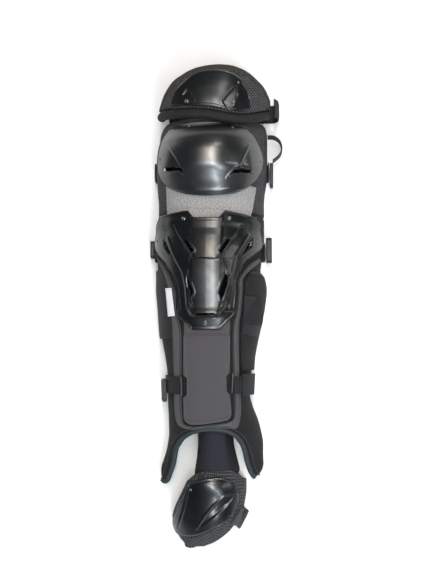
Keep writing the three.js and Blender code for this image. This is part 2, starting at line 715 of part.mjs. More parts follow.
const lowerOuter = lowerGrid.map((row, r) => row.map(([turn, along], c) => {
  const reach = Math.min(lowerUs[c], 1 - lowerUs[c], lowerVs[r]) / 0.09;
  const open = 1 - Math.min(reach, 1);
  const full = shinPanelThickness - panelEdgeDrop * (1 - Math.sqrt(1 - open * open));
  const s = Math.min(Math.max((underKeel - along) / (0.8 * percentY), 0), 1);
  return lifted(legForm, turn, along, layerGap + panelThickness + (full - panelThickness) * s);
}));
const lowerInner = lowerGrid.map((row) => row.map(([turn, along]) => (
  lifted(legForm, turn, along, layerGap)
)));
add('lower_panel', closedBody(lowerOuter, lowerInner), materials.knit);

const borderInner = [
    [-91.9, 7], [-81.9, 5.5], [-69.4, 3], [-61.3, 0.7], [-56.2, -1.2], [-55, -5.2], [-50, -7],
    [-46.8, -9.1], [-46.8, -18.2], [-45.8, -25.5], [-42.5, -27.2], [-28.1, -27.8], [-2.5, -27.5],
    [26.9, -27], [37.2, -26.4], [39.8, -25.2], [38.8, -18.2], [38.1, -9.1], [40.2, -7], [44.4, -5.2],
    [48.1, -1.1], [48.5, 1.2], [57.5, 3.3], [70, 5.2], [80, 6.3],
  ];
const borderOuter = [
    [-95.6, 7.5], [-90, 6.2], [-77.5, 3.3], [-70, 0.6], [-65.6, -1.5], [-63.1, -5.2], [-62.2, -7.3],
    [-61.5, -9.1], [-60, -18.2], [-58.1, -25.5], [-52.5, -27.6], [-32.5, -28.5], [-2.5, -28],
    [27.5, -28.2], [43.8, -28.2], [50, -25.8], [47.8, -18.2], [47.8, -9.1], [48.8, -7], [51.2, -5.2],
    [54.1, -1.1], [55, 1.5], [63.7, 3], [75, 4.5], [82.5, 5.5],
  ];
const borderProfile = [[0, 0.45], [0.18, 1], [0.82, 1], [1, 0.45]];
const borderPlaces = scaled(borderInner).map(([x, y], i) => {
  const [ox, oy] = scaled([borderOuter[i]])[0];
  return borderProfile.map(([s]) => locate(legForm, x + (ox - x) * s, y + (oy - y) * s, shellSeat));
}).flatMap((row, i, rows) => {
  if (i + 1 === rows.length) return [row];
  return [0, 0.5].map((s) => row.map((p, c) => p.map((v, k) => v + (rows[i + 1][c][k] - v) * s)));
});
const borderFace = borderPlaces.map((row) => row.map(([turn, along], c) => (
  lifted(legForm, turn, along, shellSeat + borderThickness * borderProfile[c][1])
)));
const borderBack = borderPlaces.map((row) => row.map(([turn, along]) => (
  lifted(legForm, turn, along, shellSeat)
)));
add('border_welt', closedBody(borderFace, borderBack), materials.mesh);

// Wings and side pieces
const wingSides = {
  bottom: edge([[50.6, -16.7], [70, -16.7]], false),
  top: edge([[67.5, 3.2], [77.5, 3.4], [90, 2.3]]),
  left: edge([[50.6, -16.7], [50.3, -9.1], [53.8, -5.2], [56.9, -1.2], [58.1, 1.1], [67.5, 3.2]]),
  right: edge([[70, -16.7], [80, -10.5], [90, -4.5], [94.4, -1.2], [95, 0.6], [90, 2.3]]),
};
add('inner_wing', layer(
  legForm,
  filled(legForm, wingSides, evenly(11), evenly(12), shellSeat),
  shellSeat,
  wingThickness,
), materials.mesh);

const patchSides = {
  bottom: edge([[54.4, -9.4], [80, -10]], false),
  top: edge([[58.8, -1.7], [83.8, -2]], false),
  left: edge([[54.4, -9.4], [57.5, -5.8], [58.8, -1.7]], false),
  right: edge([[80, -10], [88.8, -5.8], [83.8, -2]], false),
};
add('wing_patch', layer(
  legForm,
  filled(legForm, patchSides, evenly(6), evenly(6), 2 * layerGap + wingThickness + patchThickness),
  2 * layerGap + wingThickness,
  patchThickness,
), materials.elastic);

const flapSides = {
  bottom: edge([[-92.5, -10.3], [-63.7, -10.3]], false),
  top: edge([[-97.5, 3.9], [-81.2, 3.8]], false),
  left: edge([[-92.5, -10.3], [-96.2, -2.6], [-97.5, 3.9]]),
  right: edge([[-63.7, -10.3], [-65.6, -5.2], [-67.5, -1.5], [-71.9, 0.6], [-81.2, 3.8]]),
};
add('outer_flap', layer(
  legForm,
  filled(legForm, flapSides, evenly(8), evenly(8), layerGap),
  layerGap,
  flapThickness,
), materials.elastic);

const labelSides = {
  bottom: edge([[-70, -5.9], [-57.5, -5.8]], false),
  top: edge([[-74.4, -0.2], [-63.1, -0.2]], false),
  left: edge([[-70, -5.9], [-74.4, -0.2]], false),
  right: edge([[-57.5, -5.8], [-63.1, -0.2]], false),
};
const labelBase = shellSeat + layerGap + Math.max(flapThickness, borderThickness);
add('side_label', layer(
  legForm,
  filled(legForm, labelSides, evenly(4), evenly(4), labelBase + labelThickness),
  labelBase,
  labelThickness,
), materials.label);

// Toe flap: stretch tongue, padded cup and its shell
const tongueUs = [0.16, 0.22, 0.3, 0.38, 0.46, 0.54, 0.62, 0.7, 0.78, 0.84];
const tongueEnds = [-38.2, -37.7, -37.2, -36.8, -36.6, -36.5, -36.4, -36.5, -36.8, -37.1];
const tongueTop = -26.5;
const tongueSteps = [0, 0.2, 0.4, 0.6, 0.8, 0.93, 1];
add('toe_tongue', layer(
  tongueForm,
  tongueSteps.map((s) => tongueUs.map((turn, i) => (
    [turn, (tongueTop + (tongueEnds[i] - tongueTop) * s) * percentY]
  ))),
  -tongueThickness,
  tongueThickness,
), materials.navy);

const toePadSides = {
  bottom: edge([
    [-68.8, -51.2], [-60, -52.6], [-45, -53.5], [-23.8, -53.6], [1.2, -52.6], [22.5, -50.6],
    [41.2, -48.3],
  ]),
  top: edge([[-41.2, -38.9], [-25, -37.4], [6.2, -36.6], [31.2, -36.5], [47.5, -37.6]]),
  left: edge([[-68.8, -51.2], [-72.5, -48.8], [-66.2, -45.5], [-55, -42.3], [-41.2, -38.9]]),
  right: edge([[41.2, -48.3], [53.8, -46.1], [62.5, -43.3], [61.3, -40.2], [47.5, -37.6]]),
};
const toeUs = [0, 0.05, 0.14, 0.26, 0.38, 0.5, 0.62, 0.74, 0.86, 0.95, 1];
const toeVs = [0, 0.05, 0.14, 0.26, 0.38, 0.5, 0.62, 0.74, 0.86, 0.95, 1];
add('toe_pad', layer(
  toeForm,
  filled(toeForm, toePadSides, toeUs, toeVs, 0),
  -toePadThickness,
  toePadThickness,
  { us: toeUs, vs: toeVs, drop: padEdgeDrop / 2, radius: padEdgeRadius / 2 },
), materials.mesh);

const toeShellSides = {
  bottom: edge([[-62.5, -50.5], [-52.5, -51.1], [-37.5, -51.2], [-16.2, -50.5], [6.2, -48.9], [27.5, -47]]),
  top: edge([[-36.2, -39.2], [-20, -38.5], [-2.5, -38.1], [15, -38], [30, -38.5], [41.2, -39.5]]),
  left: edge([[-62.5, -50.5], [-68.8, -49.2], [-67.5, -47.3], [-61.3, -45.2], [-51.2, -42.3], [-36.2, -39.2]]),
  right: edge([[27.5, -47], [42.5, -45], [50, -43], [48.8, -41.1], [41.2, -39.5]]),
};
add('toe_shell', layer(
  toeForm,
  filled(toeForm, toeShellSides, evenly(12), evenly(12), layerGap + shellThickness),
  layerGap,
  shellThickness,
), materials.shell);

// Straps: each lies flat on the floor under the leg and turns up at the sides.
// A line of a strap is followed at both of its edges, so it keeps to the form.
const strapBend = 1.8 * layerGap;
function floorPart(left, right) {
  const pairs = [];
  for (const a of [0, 30, 60, 90]) {
    const r = THREE.MathUtils.degToRad(a);
    const drop = strapBend * (1 - Math.sin(r));
    pairs.push([left + strapBend * (1 - Math.cos(r)), drop, -Math.cos(r), -Math.sin(r)]);
  }
  for (const a of [90, 60, 30, 0]) {
    const r = THREE.MathUtils.degToRad(a);
    const drop = strapBend * (1 - Math.sin(r));
    pairs.push([right - strapBend * (1 - Math.cos(r)), drop, Math.cos(r), -Math.sin(r)]);
  }
  return pairs.map(([x, z, ox, oz]) => ({ x, z: z + strapThickness, ox, oz }));
}

function strapRows(run, width, line) {
  const edges = [run * percentY - width / 2, run * percentY + width / 2].map((y) => line(y));
  const face = edges[0].map((s, i) => edges.map((list) => list[i].outer));
  const back = edges[0].map((s, i) => edges.map((list) => list[i].inner));
  return closedBody(face, back);
}

function pairAt(x, y, z, ox, oz) {
  return {
    inner: new THREE.Vector3(x, y, z),
    outer: new THREE.Vector3(x + ox * strapThickness, y, z + oz * strapThickness),
  };
}

function sideStrap(run, width, leftTop, rightTop) {
  const reach = [-width / 2, 0, width / 2].map((d) => sectionAt(legForm, run * percentY + d));
  const left = -Math.max(...reach.map((r) => r[0])) - layerGap;
  const right = Math.max(...reach.map((r) => r[1])) + layerGap;
  return strapRows(run, width, (y) => [
    pairAt(left, y, leftTop, -1, 0),
    ...floorPart(left, right).map((p) => pairAt(p.x, y, p.z, p.ox, p.oz)),
    pairAt(right, y, rightTop, 1, 0),
  ]);
}

const kneeRun = 25;
const calfRun = 7.9;
const ankleRun = -19.6;
const thighRun = 37.9;
add('knee_strap', sideStrap(kneeRun, strapWidth, clipHeight - 2, clipHeight - 2), materials.elastic);
add('calf_strap', sideStrap(calfRun, strapWidth, clipHeight - 5, clipHeight - 5), materials.elastic);

const slack = [[97.5, 0], [107.5, 0], [113.1, 0], [115.4, 0], [113.8, 0], [108.1, 0]].map(([x]) => x * percentX);
const slackHeights = [0, 1.7, 7, 15, 26, 36];
const slackOut = [[0, -1], [0.5, -0.87], [0.9, -0.4], [1, 0], [0.95, 0.3], [0.9, 0.43]];
const thighStrapLeft = -0.765 * halfWidth;
add('thigh_strap', strapRows(thighRun, strapWidth, (y) => [
  pairAt(thighStrapLeft + strapThickness + 4.4, y, 0.37 * guardHeight, -0.96, 0.25),
  pairAt(thighStrapLeft + strapThickness + 1.2, y, 0.26 * guardHeight, -0.99, 0.12),
  ...floorPart(thighStrapLeft, halfWidth).slice(0, 4).map((p) => (
    pairAt(p.x + strapThickness, y, p.z, p.ox, p.oz)
  )),
  pairAt(0, y, strapThickness, 0, -1),
  ...slack.map((x, i) => pairAt(x, y, strapThickness + slackHeights[i], ...slackOut[i])),
]), materials.elastic);

// Slack end of the knee strap, standing on its edge beside the knee
const tailCurve = new THREE.CatmullRomCurve3(
  scaled([
    [96.9, 32.3], [107.5, 32.2], [116.9, 31.4], [120.6, 30], [117.5, 28.6], [110, 27.7],
    [105.6, 27.3],
  ])
    .map(([x, y]) => new THREE.Vector3(x, y, 0)),
);
const tailLow = floorGap + 3;
const tailStations = [0, 0.1, 0.2, 0.3, 0.4, 0.5, 0.6, 0.7, 0.8, 0.9, 1].map((s) => {
  const p = tailCurve.getPointAt(s);
  const t = tailCurve.getTangentAt(s);
  const out = new THREE.Vector3(-t.y, t.x, 0);
  return { p, out };
});
const tailHeights = [tailLow, tailLow + clipHeight - 2];
const tailEdge = (reach) => tailStations.map(({ p, out }) => tailHeights.map((z) => (
  new THREE.Vector3(p.x, p.y, z).addScaledVector(out, reach)
)));
add('knee_strap_tail', closedBody(tailEdge(strapThickness), tailEdge(0)), materials.elastic);

// Ankle strap: from the left notch of the shin panel round the back to the right notch
const ankleLeftX = -48.3;
const ankleRightX = 39.5;
const overBorder = shellSeat + layerGap + borderThickness + 1;
const sideOffset = 1.8 * layerGap;
function ankleLine(y) {
  const [left, right] = sectionAt(legForm, y);
  const startTurn = locate(legForm, ankleLeftX * percentX, y, overBorder)[0];
  const endTurn = locate(legForm, ankleRightX * percentX, y, overBorder)[0];
  const pair = (turn, offset) => ({
    inner: lifted(legForm, turn, y, offset),
    outer: lifted(legForm, turn, y, offset + strapThickness),
  });
  const down = [0, 0.12, 0.24, 0.36, 0.5, 0.66, 0.84].map((s) => {
    const turn = startTurn * (1 - s);
    const over = s < 0.4 ? 1 : Math.max(0, 1 - (s - 0.36) / 0.3);
    return pair(turn, sideOffset + (overBorder - sideOffset) * over);
  });
  const lift = [0.84, 0.66, 0.5, 0.36, 0.24, 0.12, 0].map((s) => {
    const turn = endTurn + (1 - endTurn) * s;
    const over = s < 0.4 ? 1 : Math.max(0, 1 - (s - 0.36) / 0.3);
    return pair(turn, sideOffset + (overBorder - sideOffset) * over);
  });
  return [
    ...down,
    ...floorPart(-left - sideOffset, right + sideOffset).map((p) => pairAt(p.x, y, p.z, p.ox, p.oz)),
    ...lift,
  ];
}
add('ankle_strap', strapRows(ankleRun, ankleStrapWidth, ankleLine), materials.elastic);

// Toe strap: over the edge of the toe pad and under the foot
const toeStrapEdges = [
  {
    inside: [[46.9, -44.8], [54.4, -45.4]],
    round: [[59.4, -45.8], [61.3, -46], [56.2, -45.6]],
    far: [[-42.5, -40]],
  },
  {
    inside: [[31.9, -47.6], [38.1, -48.6]],
    round: [[43.8, -49.4], [45.6, -49.6], [40.6, -49.1]],
    far: [[-57.5, -43.6]],
  },
];
const mixPlan = (a, b, t) => a.map((p, i) => p.map((v, k) => v + (b[i][k] - v) * t));
const toeLines = [0, 0.33, 0.67, 1].map((across) => {
  const [first, last] = toeStrapEdges;
  const [start, end] = scaled(mixPlan(first.inside, last.inside, across));
  const out = new THREE.Vector3(end[0] - start[0], end[1] - start[1], 0).normalize();
  const list = [0, 0.35, 0.7, 1].map((s) => {
    const [x, y] = [start[0] + (end[0] - start[0]) * s, start[1] + (end[1] - start[1]) * s];
    const [turn, along] = locate(toeForm, x, y, 0);
    const p = lifted(toeForm, turn, along, 2 * layerGap);
    const n = skinNormal(toeForm, turn, along);
    return { inner: p, outer: p.clone().addScaledVector(n, strapThickness) };
  });
  const [shoulder, knuckle, under] = scaled(mixPlan(first.round, last.round, across));
  const edgePoints = [
    [shoulder, 9.5, 0.85, 0.53],
    [knuckle, 5.5, 0.98, 0.2],
    [knuckle, 3.2, 0.7, -0.7],
  ];
  for (const [p, z, lean, tilt] of edgePoints) {
    const inner = new THREE.Vector3(p[0], p[1], z);
    const push = out.clone().multiplyScalar(lean).setZ(tilt).multiplyScalar(strapThickness);
    list.push({ inner, outer: inner.clone().add(push) });
  }
  for (const p of [under, scaled(mixPlan(first.far, last.far, across))[0]]) {
    const inner = new THREE.Vector3(p[0], p[1], strapThickness);
    list.push({ inner, outer: inner.clone().setZ(0) });
  }
  return list;
});
add('toe_strap', closedBody(
  toeLines[0].map((s, i) => toeLines.map((list) => list[i].outer)),
  toeLines[0].map((s, i) => toeLines.map((list) => list[i].inner)),
), materials.elastic);

const up = new THREE.Vector3(0, 0, 1);

// Strap clips: flat plastic loops, each beside the strap that it holds
function loopPlate(length, height, wall, thickness) {
  const cut = wall * 0.7;
  const ring = [
    [1, -1, 0, 1], [1, 1, 0, -1], [1, 1, -1, 0], [-1, 1, 1, 0],
    [-1, 1, 0, -1], [-1, -1, 0, 1], [-1, -1, 1, 0], [1, -1, -1, 0],
  ].map(([sx, sy, dx, dy]) => new THREE.Vector2((sx * length) / 2 + dx * cut, (sy * height) / 2 + dy * cut));
  const flat = new THREE.Shape(ring);
  let plate = solid(new THREE.ExtrudeGeometry(flat, { depth: thickness, bevelEnabled: false }));
  const slot = (length - 3 * wall) / 2;
  for (const side of [-1, 1]) {
    const hole = new THREE.BoxGeometry(slot, height - 2 * wall, 4 * thickness);
    hole.translate((side * (slot + wall)) / 2, 0, 0);
    plate = plate.subtract(solid(hole));
  }
  return fromSolid(plate);
}

function clip(name, run, side, length, height, thickness, clear, middle) {
  const reach = [-0.5, 0, 0.5].map((d) => sectionAt(legForm, run * percentY + d * strapWidth));
  const wide = Math.max(...reach.map((r) => (side < 0 ? r[0] : r[1])));
  const geometry = loopPlate(length, height, 4, thickness);
  const mesh = add(name, geometry, materials.plastic);
  const out = new THREE.Vector3(side, 0, 0);
  const length3 = new THREE.Vector3(0, side, 0);
  mesh.quaternion.setFromRotationMatrix(new THREE.Matrix4().makeBasis(length3, up, out));
  mesh.position.set(side * (wide + clear), run * percentY, middle);
}
const outsideStrap = layerGap + strapThickness + 0.6;
clip('knee_clip', 24.2, 1, 33, clipHeight - 2, clipThickness, outsideStrap, floorGap + clipHeight / 2 + 1);
clip('calf_clip_right', 8.3, 1, 34, clipHeight - 4, clipThickness + 3, outsideStrap, floorGap + clipHeight / 2);
clip('calf_clip_left', 8.6, -1, 24, clipHeight - 6, clipThickness, outsideStrap, floorGap + clipHeight / 2 - 1);

// Hardware on the ankle strap
function onForm(name, geometry, form, x, y, offset, material) {
  const [turn, along] = locate(form, x * percentX, y * percentY, offset);
  const normal = skinNormal(form, turn, along);
  const mesh = add(name, geometry, material);
  const tangentY = new THREE.Vector3(0, 1, 0).addScaledVector(normal, -normal.y).normalize();
  const tangentX = tangentY.clone().cross(normal);
  mesh.quaternion.setFromRotationMatrix(new THREE.Matrix4().makeBasis(tangentX, tangentY, normal));
  mesh.position.copy(lifted(form, turn, along, offset));
}
onForm('ankle_hook', loopPlate(17, 31, 3.4, 3.2),
  legForm, -77.5, -20.8, overBorder + strapThickness - 0.4, materials.plastic);
const keeperSides = {
  bottom: edge([[55, -21.7], [73.1, -21.7]], false),
  top: edge([[55, -17.4], [75, -17.4]], false),
  left: edge([[55, -21.7], [55, -17.4]], false),
  right: edge([[73.1, -21.7], [75, -17.4]], false),
};
const keeperBase = overBorder + strapThickness + 0.6;
add('ankle_keeper', layer(
  legForm,
  filled(legForm, keeperSides, evenly(5), evenly(3), keeperBase + flapThickness),
  keeperBase,
  flapThickness,
), materials.elastic);
const bar = () => new THREE.BoxGeometry(1.8, ankleStrapWidth + 3, 1.8);
onForm('ankle_bar_left', bar(), legForm, -46.4, -19.8, overBorder + 0.9, materials.steel);
onForm('ankle_bar_right', bar(), legForm, 38.2, -19.2, overBorder + 0.9, materials.steel);

// Press studs, each seated on its shell
function stud(name, form, x, y, seat, radius) {
  const [turn, along] = locate(form, x * percentX, y * percentY, seat);
  const profile = [[0, 0], [1, 0], [1, 0.45], [0.6, 0.9], [0, 1]];
  const outline = profile.map(([r, h]) => new THREE.Vector2(r * radius, h * rivetHeight));
  const mesh = add(name, new THREE.LatheGeometry(outline, 10), materials.plastic);
  mesh.position.copy(lifted(form, turn, along, seat + 0.5));
  mesh.quaternion.setFromUnitVectors(new THREE.Vector3(0, 1, 0), skinNormal(form, turn, along));
}
const onShell = layerGap + shellThickness;
const onRaised = overPanel + shellThickness;
stud('thigh_stud_left', thighForm, -36.2, 37.2, onShell, rivetRadius);
stud('thigh_stud_right', thighForm, 41.2, 36.9, onShell, rivetRadius);
stud('thigh_stud_small', thighForm, 48.8, 41.2, onShell, smallRivetRadius);
stud('knee_stud_top_left', legForm, -32.5, 32.2, onShell, rivetRadius);
stud('knee_stud_top_right', legForm, 40, 31.8, onShell, rivetRadius);
stud('knee_stud_left', legForm, -80.6, 25.8, onShell, smallRivetRadius);
stud('knee_stud_right', legForm, 83.8, 25.3, onShell, smallRivetRadius);
stud('shin_stud_top_left', legForm, -41.2, 13.6, onRaised + 0.16 * upperKeelRise, rivetRadius);
stud('shin_stud_top_right', legForm, 33.8, 13.5, onRaised + 0.14 * upperKeelRise, rivetRadius);
stud('shin_stud_left', legForm, -90, 9.7, onShell + 0.2, smallRivetRadius);
stud('shin_stud_right', legForm, 79.4, 9.5, onShell + 0.8, smallRivetRadius);
stud('shin_stud_bottom', legForm, -5, -7.3, onRaised + 0.2 * lowerKeelRise, rivetRadius);
stud('toe_stud', toeForm, -32.5, -40.6, onShell, smallRivetRadius);

// The origin is the middle of the underside of the whole guard
const box = new THREE.Box3().setFromObject(guard);
guard.position.set(-(box.min.x + box.max.x) / 2, -(box.min.y + box.max.y) / 2, -box.min.z);
const assembly = new THREE.Group();
assembly.name = 'assembly';
assembly.add(guard);

export default assembly;
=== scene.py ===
import math

import bpy
import numpy as np
from mathutils import Matrix, Vector, kdtree


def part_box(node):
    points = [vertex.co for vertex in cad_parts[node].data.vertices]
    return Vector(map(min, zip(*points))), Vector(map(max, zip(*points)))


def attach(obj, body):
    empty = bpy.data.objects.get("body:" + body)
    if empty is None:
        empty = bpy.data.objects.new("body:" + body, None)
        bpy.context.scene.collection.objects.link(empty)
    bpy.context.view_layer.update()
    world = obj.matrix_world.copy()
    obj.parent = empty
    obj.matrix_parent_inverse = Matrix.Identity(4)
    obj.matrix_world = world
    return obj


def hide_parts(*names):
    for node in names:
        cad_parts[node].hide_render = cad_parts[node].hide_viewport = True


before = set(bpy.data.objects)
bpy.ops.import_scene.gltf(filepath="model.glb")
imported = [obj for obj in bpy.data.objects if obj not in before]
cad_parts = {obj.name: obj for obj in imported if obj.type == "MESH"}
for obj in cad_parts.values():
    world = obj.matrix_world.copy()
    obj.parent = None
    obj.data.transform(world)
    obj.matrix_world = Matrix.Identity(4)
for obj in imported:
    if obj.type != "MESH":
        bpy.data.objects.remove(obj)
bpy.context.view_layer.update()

# Sizes in millimetres, in the drawing frame: +Y towards the thigh, +Z up, the floor at 0
floorGap = 2.8  # lowest height of every form
layerGap = 0.9  # space between a pad and the layer that lies on it
shellThickness = 2.8
overPanel = 4.0  # where a shell's underside lies on a panel
shellSeat = 1.17  # where the shin shell, its border and the wing start
strapThickness = 1.8
strapBend = 1.62  # radius of a strap where it turns up from the floor
shift = np.array([-5.902, 26.315, 0.0])  # from the drawing frame to the frame of the solids


# Forms: each row is run, left half width, right half width, top height and roundness
def makeForm(rows, centre=0.0, origin=None, heading=None):
    table = np.array(sorted(rows), float)
    at = table[:, 0]
    slopes = np.zeros_like(table[:, 1:])
    for c in range(1, 5):
        d = np.diff(table[:, c]) / np.diff(at)
        both = d[:-1] * d[1:]
        total = d[:-1] + d[1:]
        slopes[1:-1, c - 1] = np.where(both > 0, 2 * both / np.where(both > 0, total, 1), 0)
    return {
        "at": at, "table": table[:, 1:], "slopes": slopes,
        "centre": centre, "origin": origin, "heading": heading,
    }


# Left and right half width, top height and roundness of a form at some run
def sectionAt(form, along):
    at = form["at"]
    a = np.clip(along, at[0], at[-1])
    i = np.clip(np.searchsorted(at, a, side="right") - 1, 0, len(at) - 2)
    span = at[i + 1] - at[i]
    s = (a - at[i]) / span
    h00 = 2 * s**3 - 3 * s**2 + 1
    h10 = s**3 - 2 * s**2 + s
    table, slopes = form["table"], form["slopes"]
    s3 = s[..., None]
    flat = h00[..., None] * table[i] + (1 - h00)[..., None] * table[i + 1]
    return flat + span[..., None] * (h10[..., None] * slopes[i] + (s3**3 - s3**2) * slopes[i + 1])


# Points of a form's surface; turn goes from 0 at its left foot to 1 at its right foot
def skin(form, turn, along):
    turn, along = np.broadcast_arrays(np.asarray(turn, float), np.asarray(along, float))
    part = sectionAt(form, along)
    angle = np.pi * (1 - turn)
    c, s = np.cos(angle), np.maximum(np.sin(angle), 0)
    power = 2 / part[..., 3]
    across = np.sign(c) * np.where(c < 0, part[..., 0], part[..., 1]) * np.abs(c) ** power
    z = floorGap + (part[..., 2] - floorGap) * s**power
    if form["origin"] is None:
        return np.stack([form["centre"] + across, along, z], -1)
    (x, y), (dx, dy) = form["origin"], form["heading"]
    return np.stack([x + dx * along - dy * across, y + dy * along + dx * across, z], -1)


def unit(v):
    return v / np.maximum(np.linalg.norm(v, axis=-1, keepdims=True), 1e-9)


def skinNormal(form, turn, along):
    a = np.clip(turn, 0.002, 0.998)
    du = skin(form, a + 0.002, along) - skin(form, a - 0.002, along)
    dv = skin(form, a, np.asarray(along) + 1) - skin(form, a, np.asarray(along) - 1)
    n = unit(np.cross(du, dv))
    core = skin(form, np.full_like(a, 0.5), along)
    core[..., 2] = 0
    side = np.sum(n * (skin(form, a, along) - core), -1, keepdims=True)
    return np.where(side < 0, -n, n)


def lifted(form, turn, along, offset):
    return skin(form, turn, along) + skinNormal(form, turn, along) * np.asarray(offset, float)[..., None]


# Turn and run of the place whose lifted point stands over a plan point
def locate(form, x, y, offset):
    x, y = np.broadcast_arrays(np.asarray(x, float), np.asarray(y, float))
    if form["origin"] is None:
        guess, wanted = y, x
        sideOf, runOf = (lambda p: p[..., 0]), (lambda p: p[..., 1])
    else:
        (ox, oy), (dx, dy) = form["origin"], form["heading"]
        guess = (x - ox) * dx + (y - oy) * dy
        wanted = -(x - ox) * dy + (y - oy) * dx
        sideOf = lambda p: -(p[..., 0] - ox) * dy + (p[..., 1] - oy) * dx
        runOf = lambda p: (p[..., 0] - ox) * dx + (p[..., 1] - oy) * dy
    along = guess.copy()
    for _ in range(4):  # rounds that settle the run
        lowTurn, highTurn = np.zeros_like(x), np.ones_like(x)
        for _ in range(17):  # halvings of the turn
            turn = (lowTurn + highTurn) / 2
            short = sideOf(lifted(form, turn, along, offset)) < wanted
            lowTurn = np.where(short, turn, lowTurn)
            highTurn = np.where(short, highTurn, turn)
        along = along + guess - runOf(lifted(form, turn, along, offset))
    return turn, along


# Places at shares of the length of a line, rounded through its points or straight between them
def resample(points, at, smooth=True):
    p = np.asarray(points, float)
    if smooth and len(p) > 2:
        ends = np.vstack([2 * p[0] - p[1], p, 2 * p[-1] - p[-2]])
        out = []
        for i in range(len(p) - 1):
            a, b, c, d = ends[i : i + 4]
            k = np.array([np.linalg.norm(v) ** 0.5 + 1e-6 for v in (b - a, c - b, d - c)])
            t1, t2, t3 = k[0], k[0] + k[1], k.sum()
            m1 = k[1] * ((b - a) / k[0] - (c - a) / t2 + (c - b) / k[1])
            m2 = k[1] * ((c - b) / k[1] - (d - b) / (t3 - t1) + (d - c) / k[2])
            for s in np.linspace(0, 1, 14, endpoint=False):
                out.append((2 * s**3 - 3 * s**2 + 1) * b + (s**3 - 2 * s**2 + s) * m1
                           + (3 * s**2 - 2 * s**3) * c + (s**3 - s**2) * m2)
        p = np.array(out + [p[-1]])
    run = np.r_[0, np.cumsum(np.linalg.norm(np.diff(p, axis=0), axis=1))]
    return np.stack([np.interp(np.asarray(at) * run[-1], run, p[:, k]) for k in range(p.shape[1])], -1)


# Steps from 0 to 1, closer together near both ends
def steps(count, fine=4, share=0.012):
    rim = np.linspace(0, share, fine, endpoint=False) if fine else np.array([])
    middle = np.linspace(share if fine else 0, 1 - share if fine else 1, count)
    return np.r_[rim, middle, (1 - rim)[::-1]]


# Places on a form filling the space inside a piece's four plan edges
def filled(form, parts, us, vs, offset):
    ends = []
    smooth = parts.get("smooth", (True, True, True, True))
    for key, at, soft in zip(("bottom", "top", "left", "right"), (us, us, vs, vs), smooth):
        xy = resample(parts[key], at, soft)
        ends.append(np.stack(locate(form, xy[:, 0], xy[:, 1], offset), -1))
    b, t, l, r = ends
    u, v = us[None, :, None], vs[:, None, None]
    grid = ((1 - v) * b[None] + v * t[None] + (1 - u) * l[:, None] + u * r[:, None]
            - (1 - u) * (1 - v) * b[0] - u * (1 - v) * b[-1] - (1 - u) * v * t[0] - u * v * t[-1])
    return grid[..., 0], grid[..., 1]


# Distance in plan from points to a line of points
def lineDistance(x, y, line, closed=False):
    pts = list(line) + ([line[0]] if closed else [])
    best = np.full(x.shape, 1e9)
    for (ax, ay), (bx, by) in zip(pts[:-1], pts[1:]):
        dx, dy = bx - ax, by - ay
        s = np.clip(((x - ax) * dx + (y - ay) * dy) / (dx * dx + dy * dy + 1e-9), 0, 1)
        best = np.minimum(best, np.hypot(x - ax - s * dx, y - ay - s * dy))
    return best


# Signed distance to a closed outline, positive inside
def inside(x, y, outline):
    within = np.zeros(x.shape, bool)
    for (ax, ay), (bx, by) in zip(outline, outline[1:] + outline[:1]):
        crosses = (ay > y) != (by > y)
        at = ax + (y - ay) * (bx - ax) / (by - ay + 1e-12)
        within ^= crosses & (x < at)
    return np.where(within, 1, -1) * lineDistance(x, y, outline, True)


# Smooth rise from 0 at the start to 1 at the end
def ramp(value, start, end):
    s = np.clip((value - start) / (end - start), 0, 1)
    return s * s * (3 - 2 * s)


# 1 on a line, smoothly down to 0 at some distance from it
def bump(distance, width):
    return 1 - ramp(distance, 0, width)


def meters(points):
    return (np.asarray(points) + shift) / 1000


def gridLengths(points):
    across = np.zeros(points.shape[:2])
    across[:, 1:] = np.cumsum(np.linalg.norm(np.diff(points, axis=1), axis=2), 1)
    along = np.zeros(points.shape[:2])
    along[1:] = np.cumsum(np.linalg.norm(np.diff(points, axis=0), axis=2), 0)
    return across, along


# Distance in millimetres from each grid point to the nearest edge of its grid
def edgeReach(points, openEnds=()):
    across, along = gridLengths(points)
    parts = {"left": across, "right": across[:, -1:] - across, "bottom": along, "top": along[-1:] - along}
    reach = np.full(across.shape, 1e3)
    for name, part in parts.items():
        if name not in openEnds:
            reach = np.minimum(reach, part)
    return reach


# Share of the full drop of an edge that is rounded to a radius
def rounded(reach, radius):
    return 1 - np.sqrt(1 - (1 - np.clip(reach / radius, 0, 1)) ** 2)


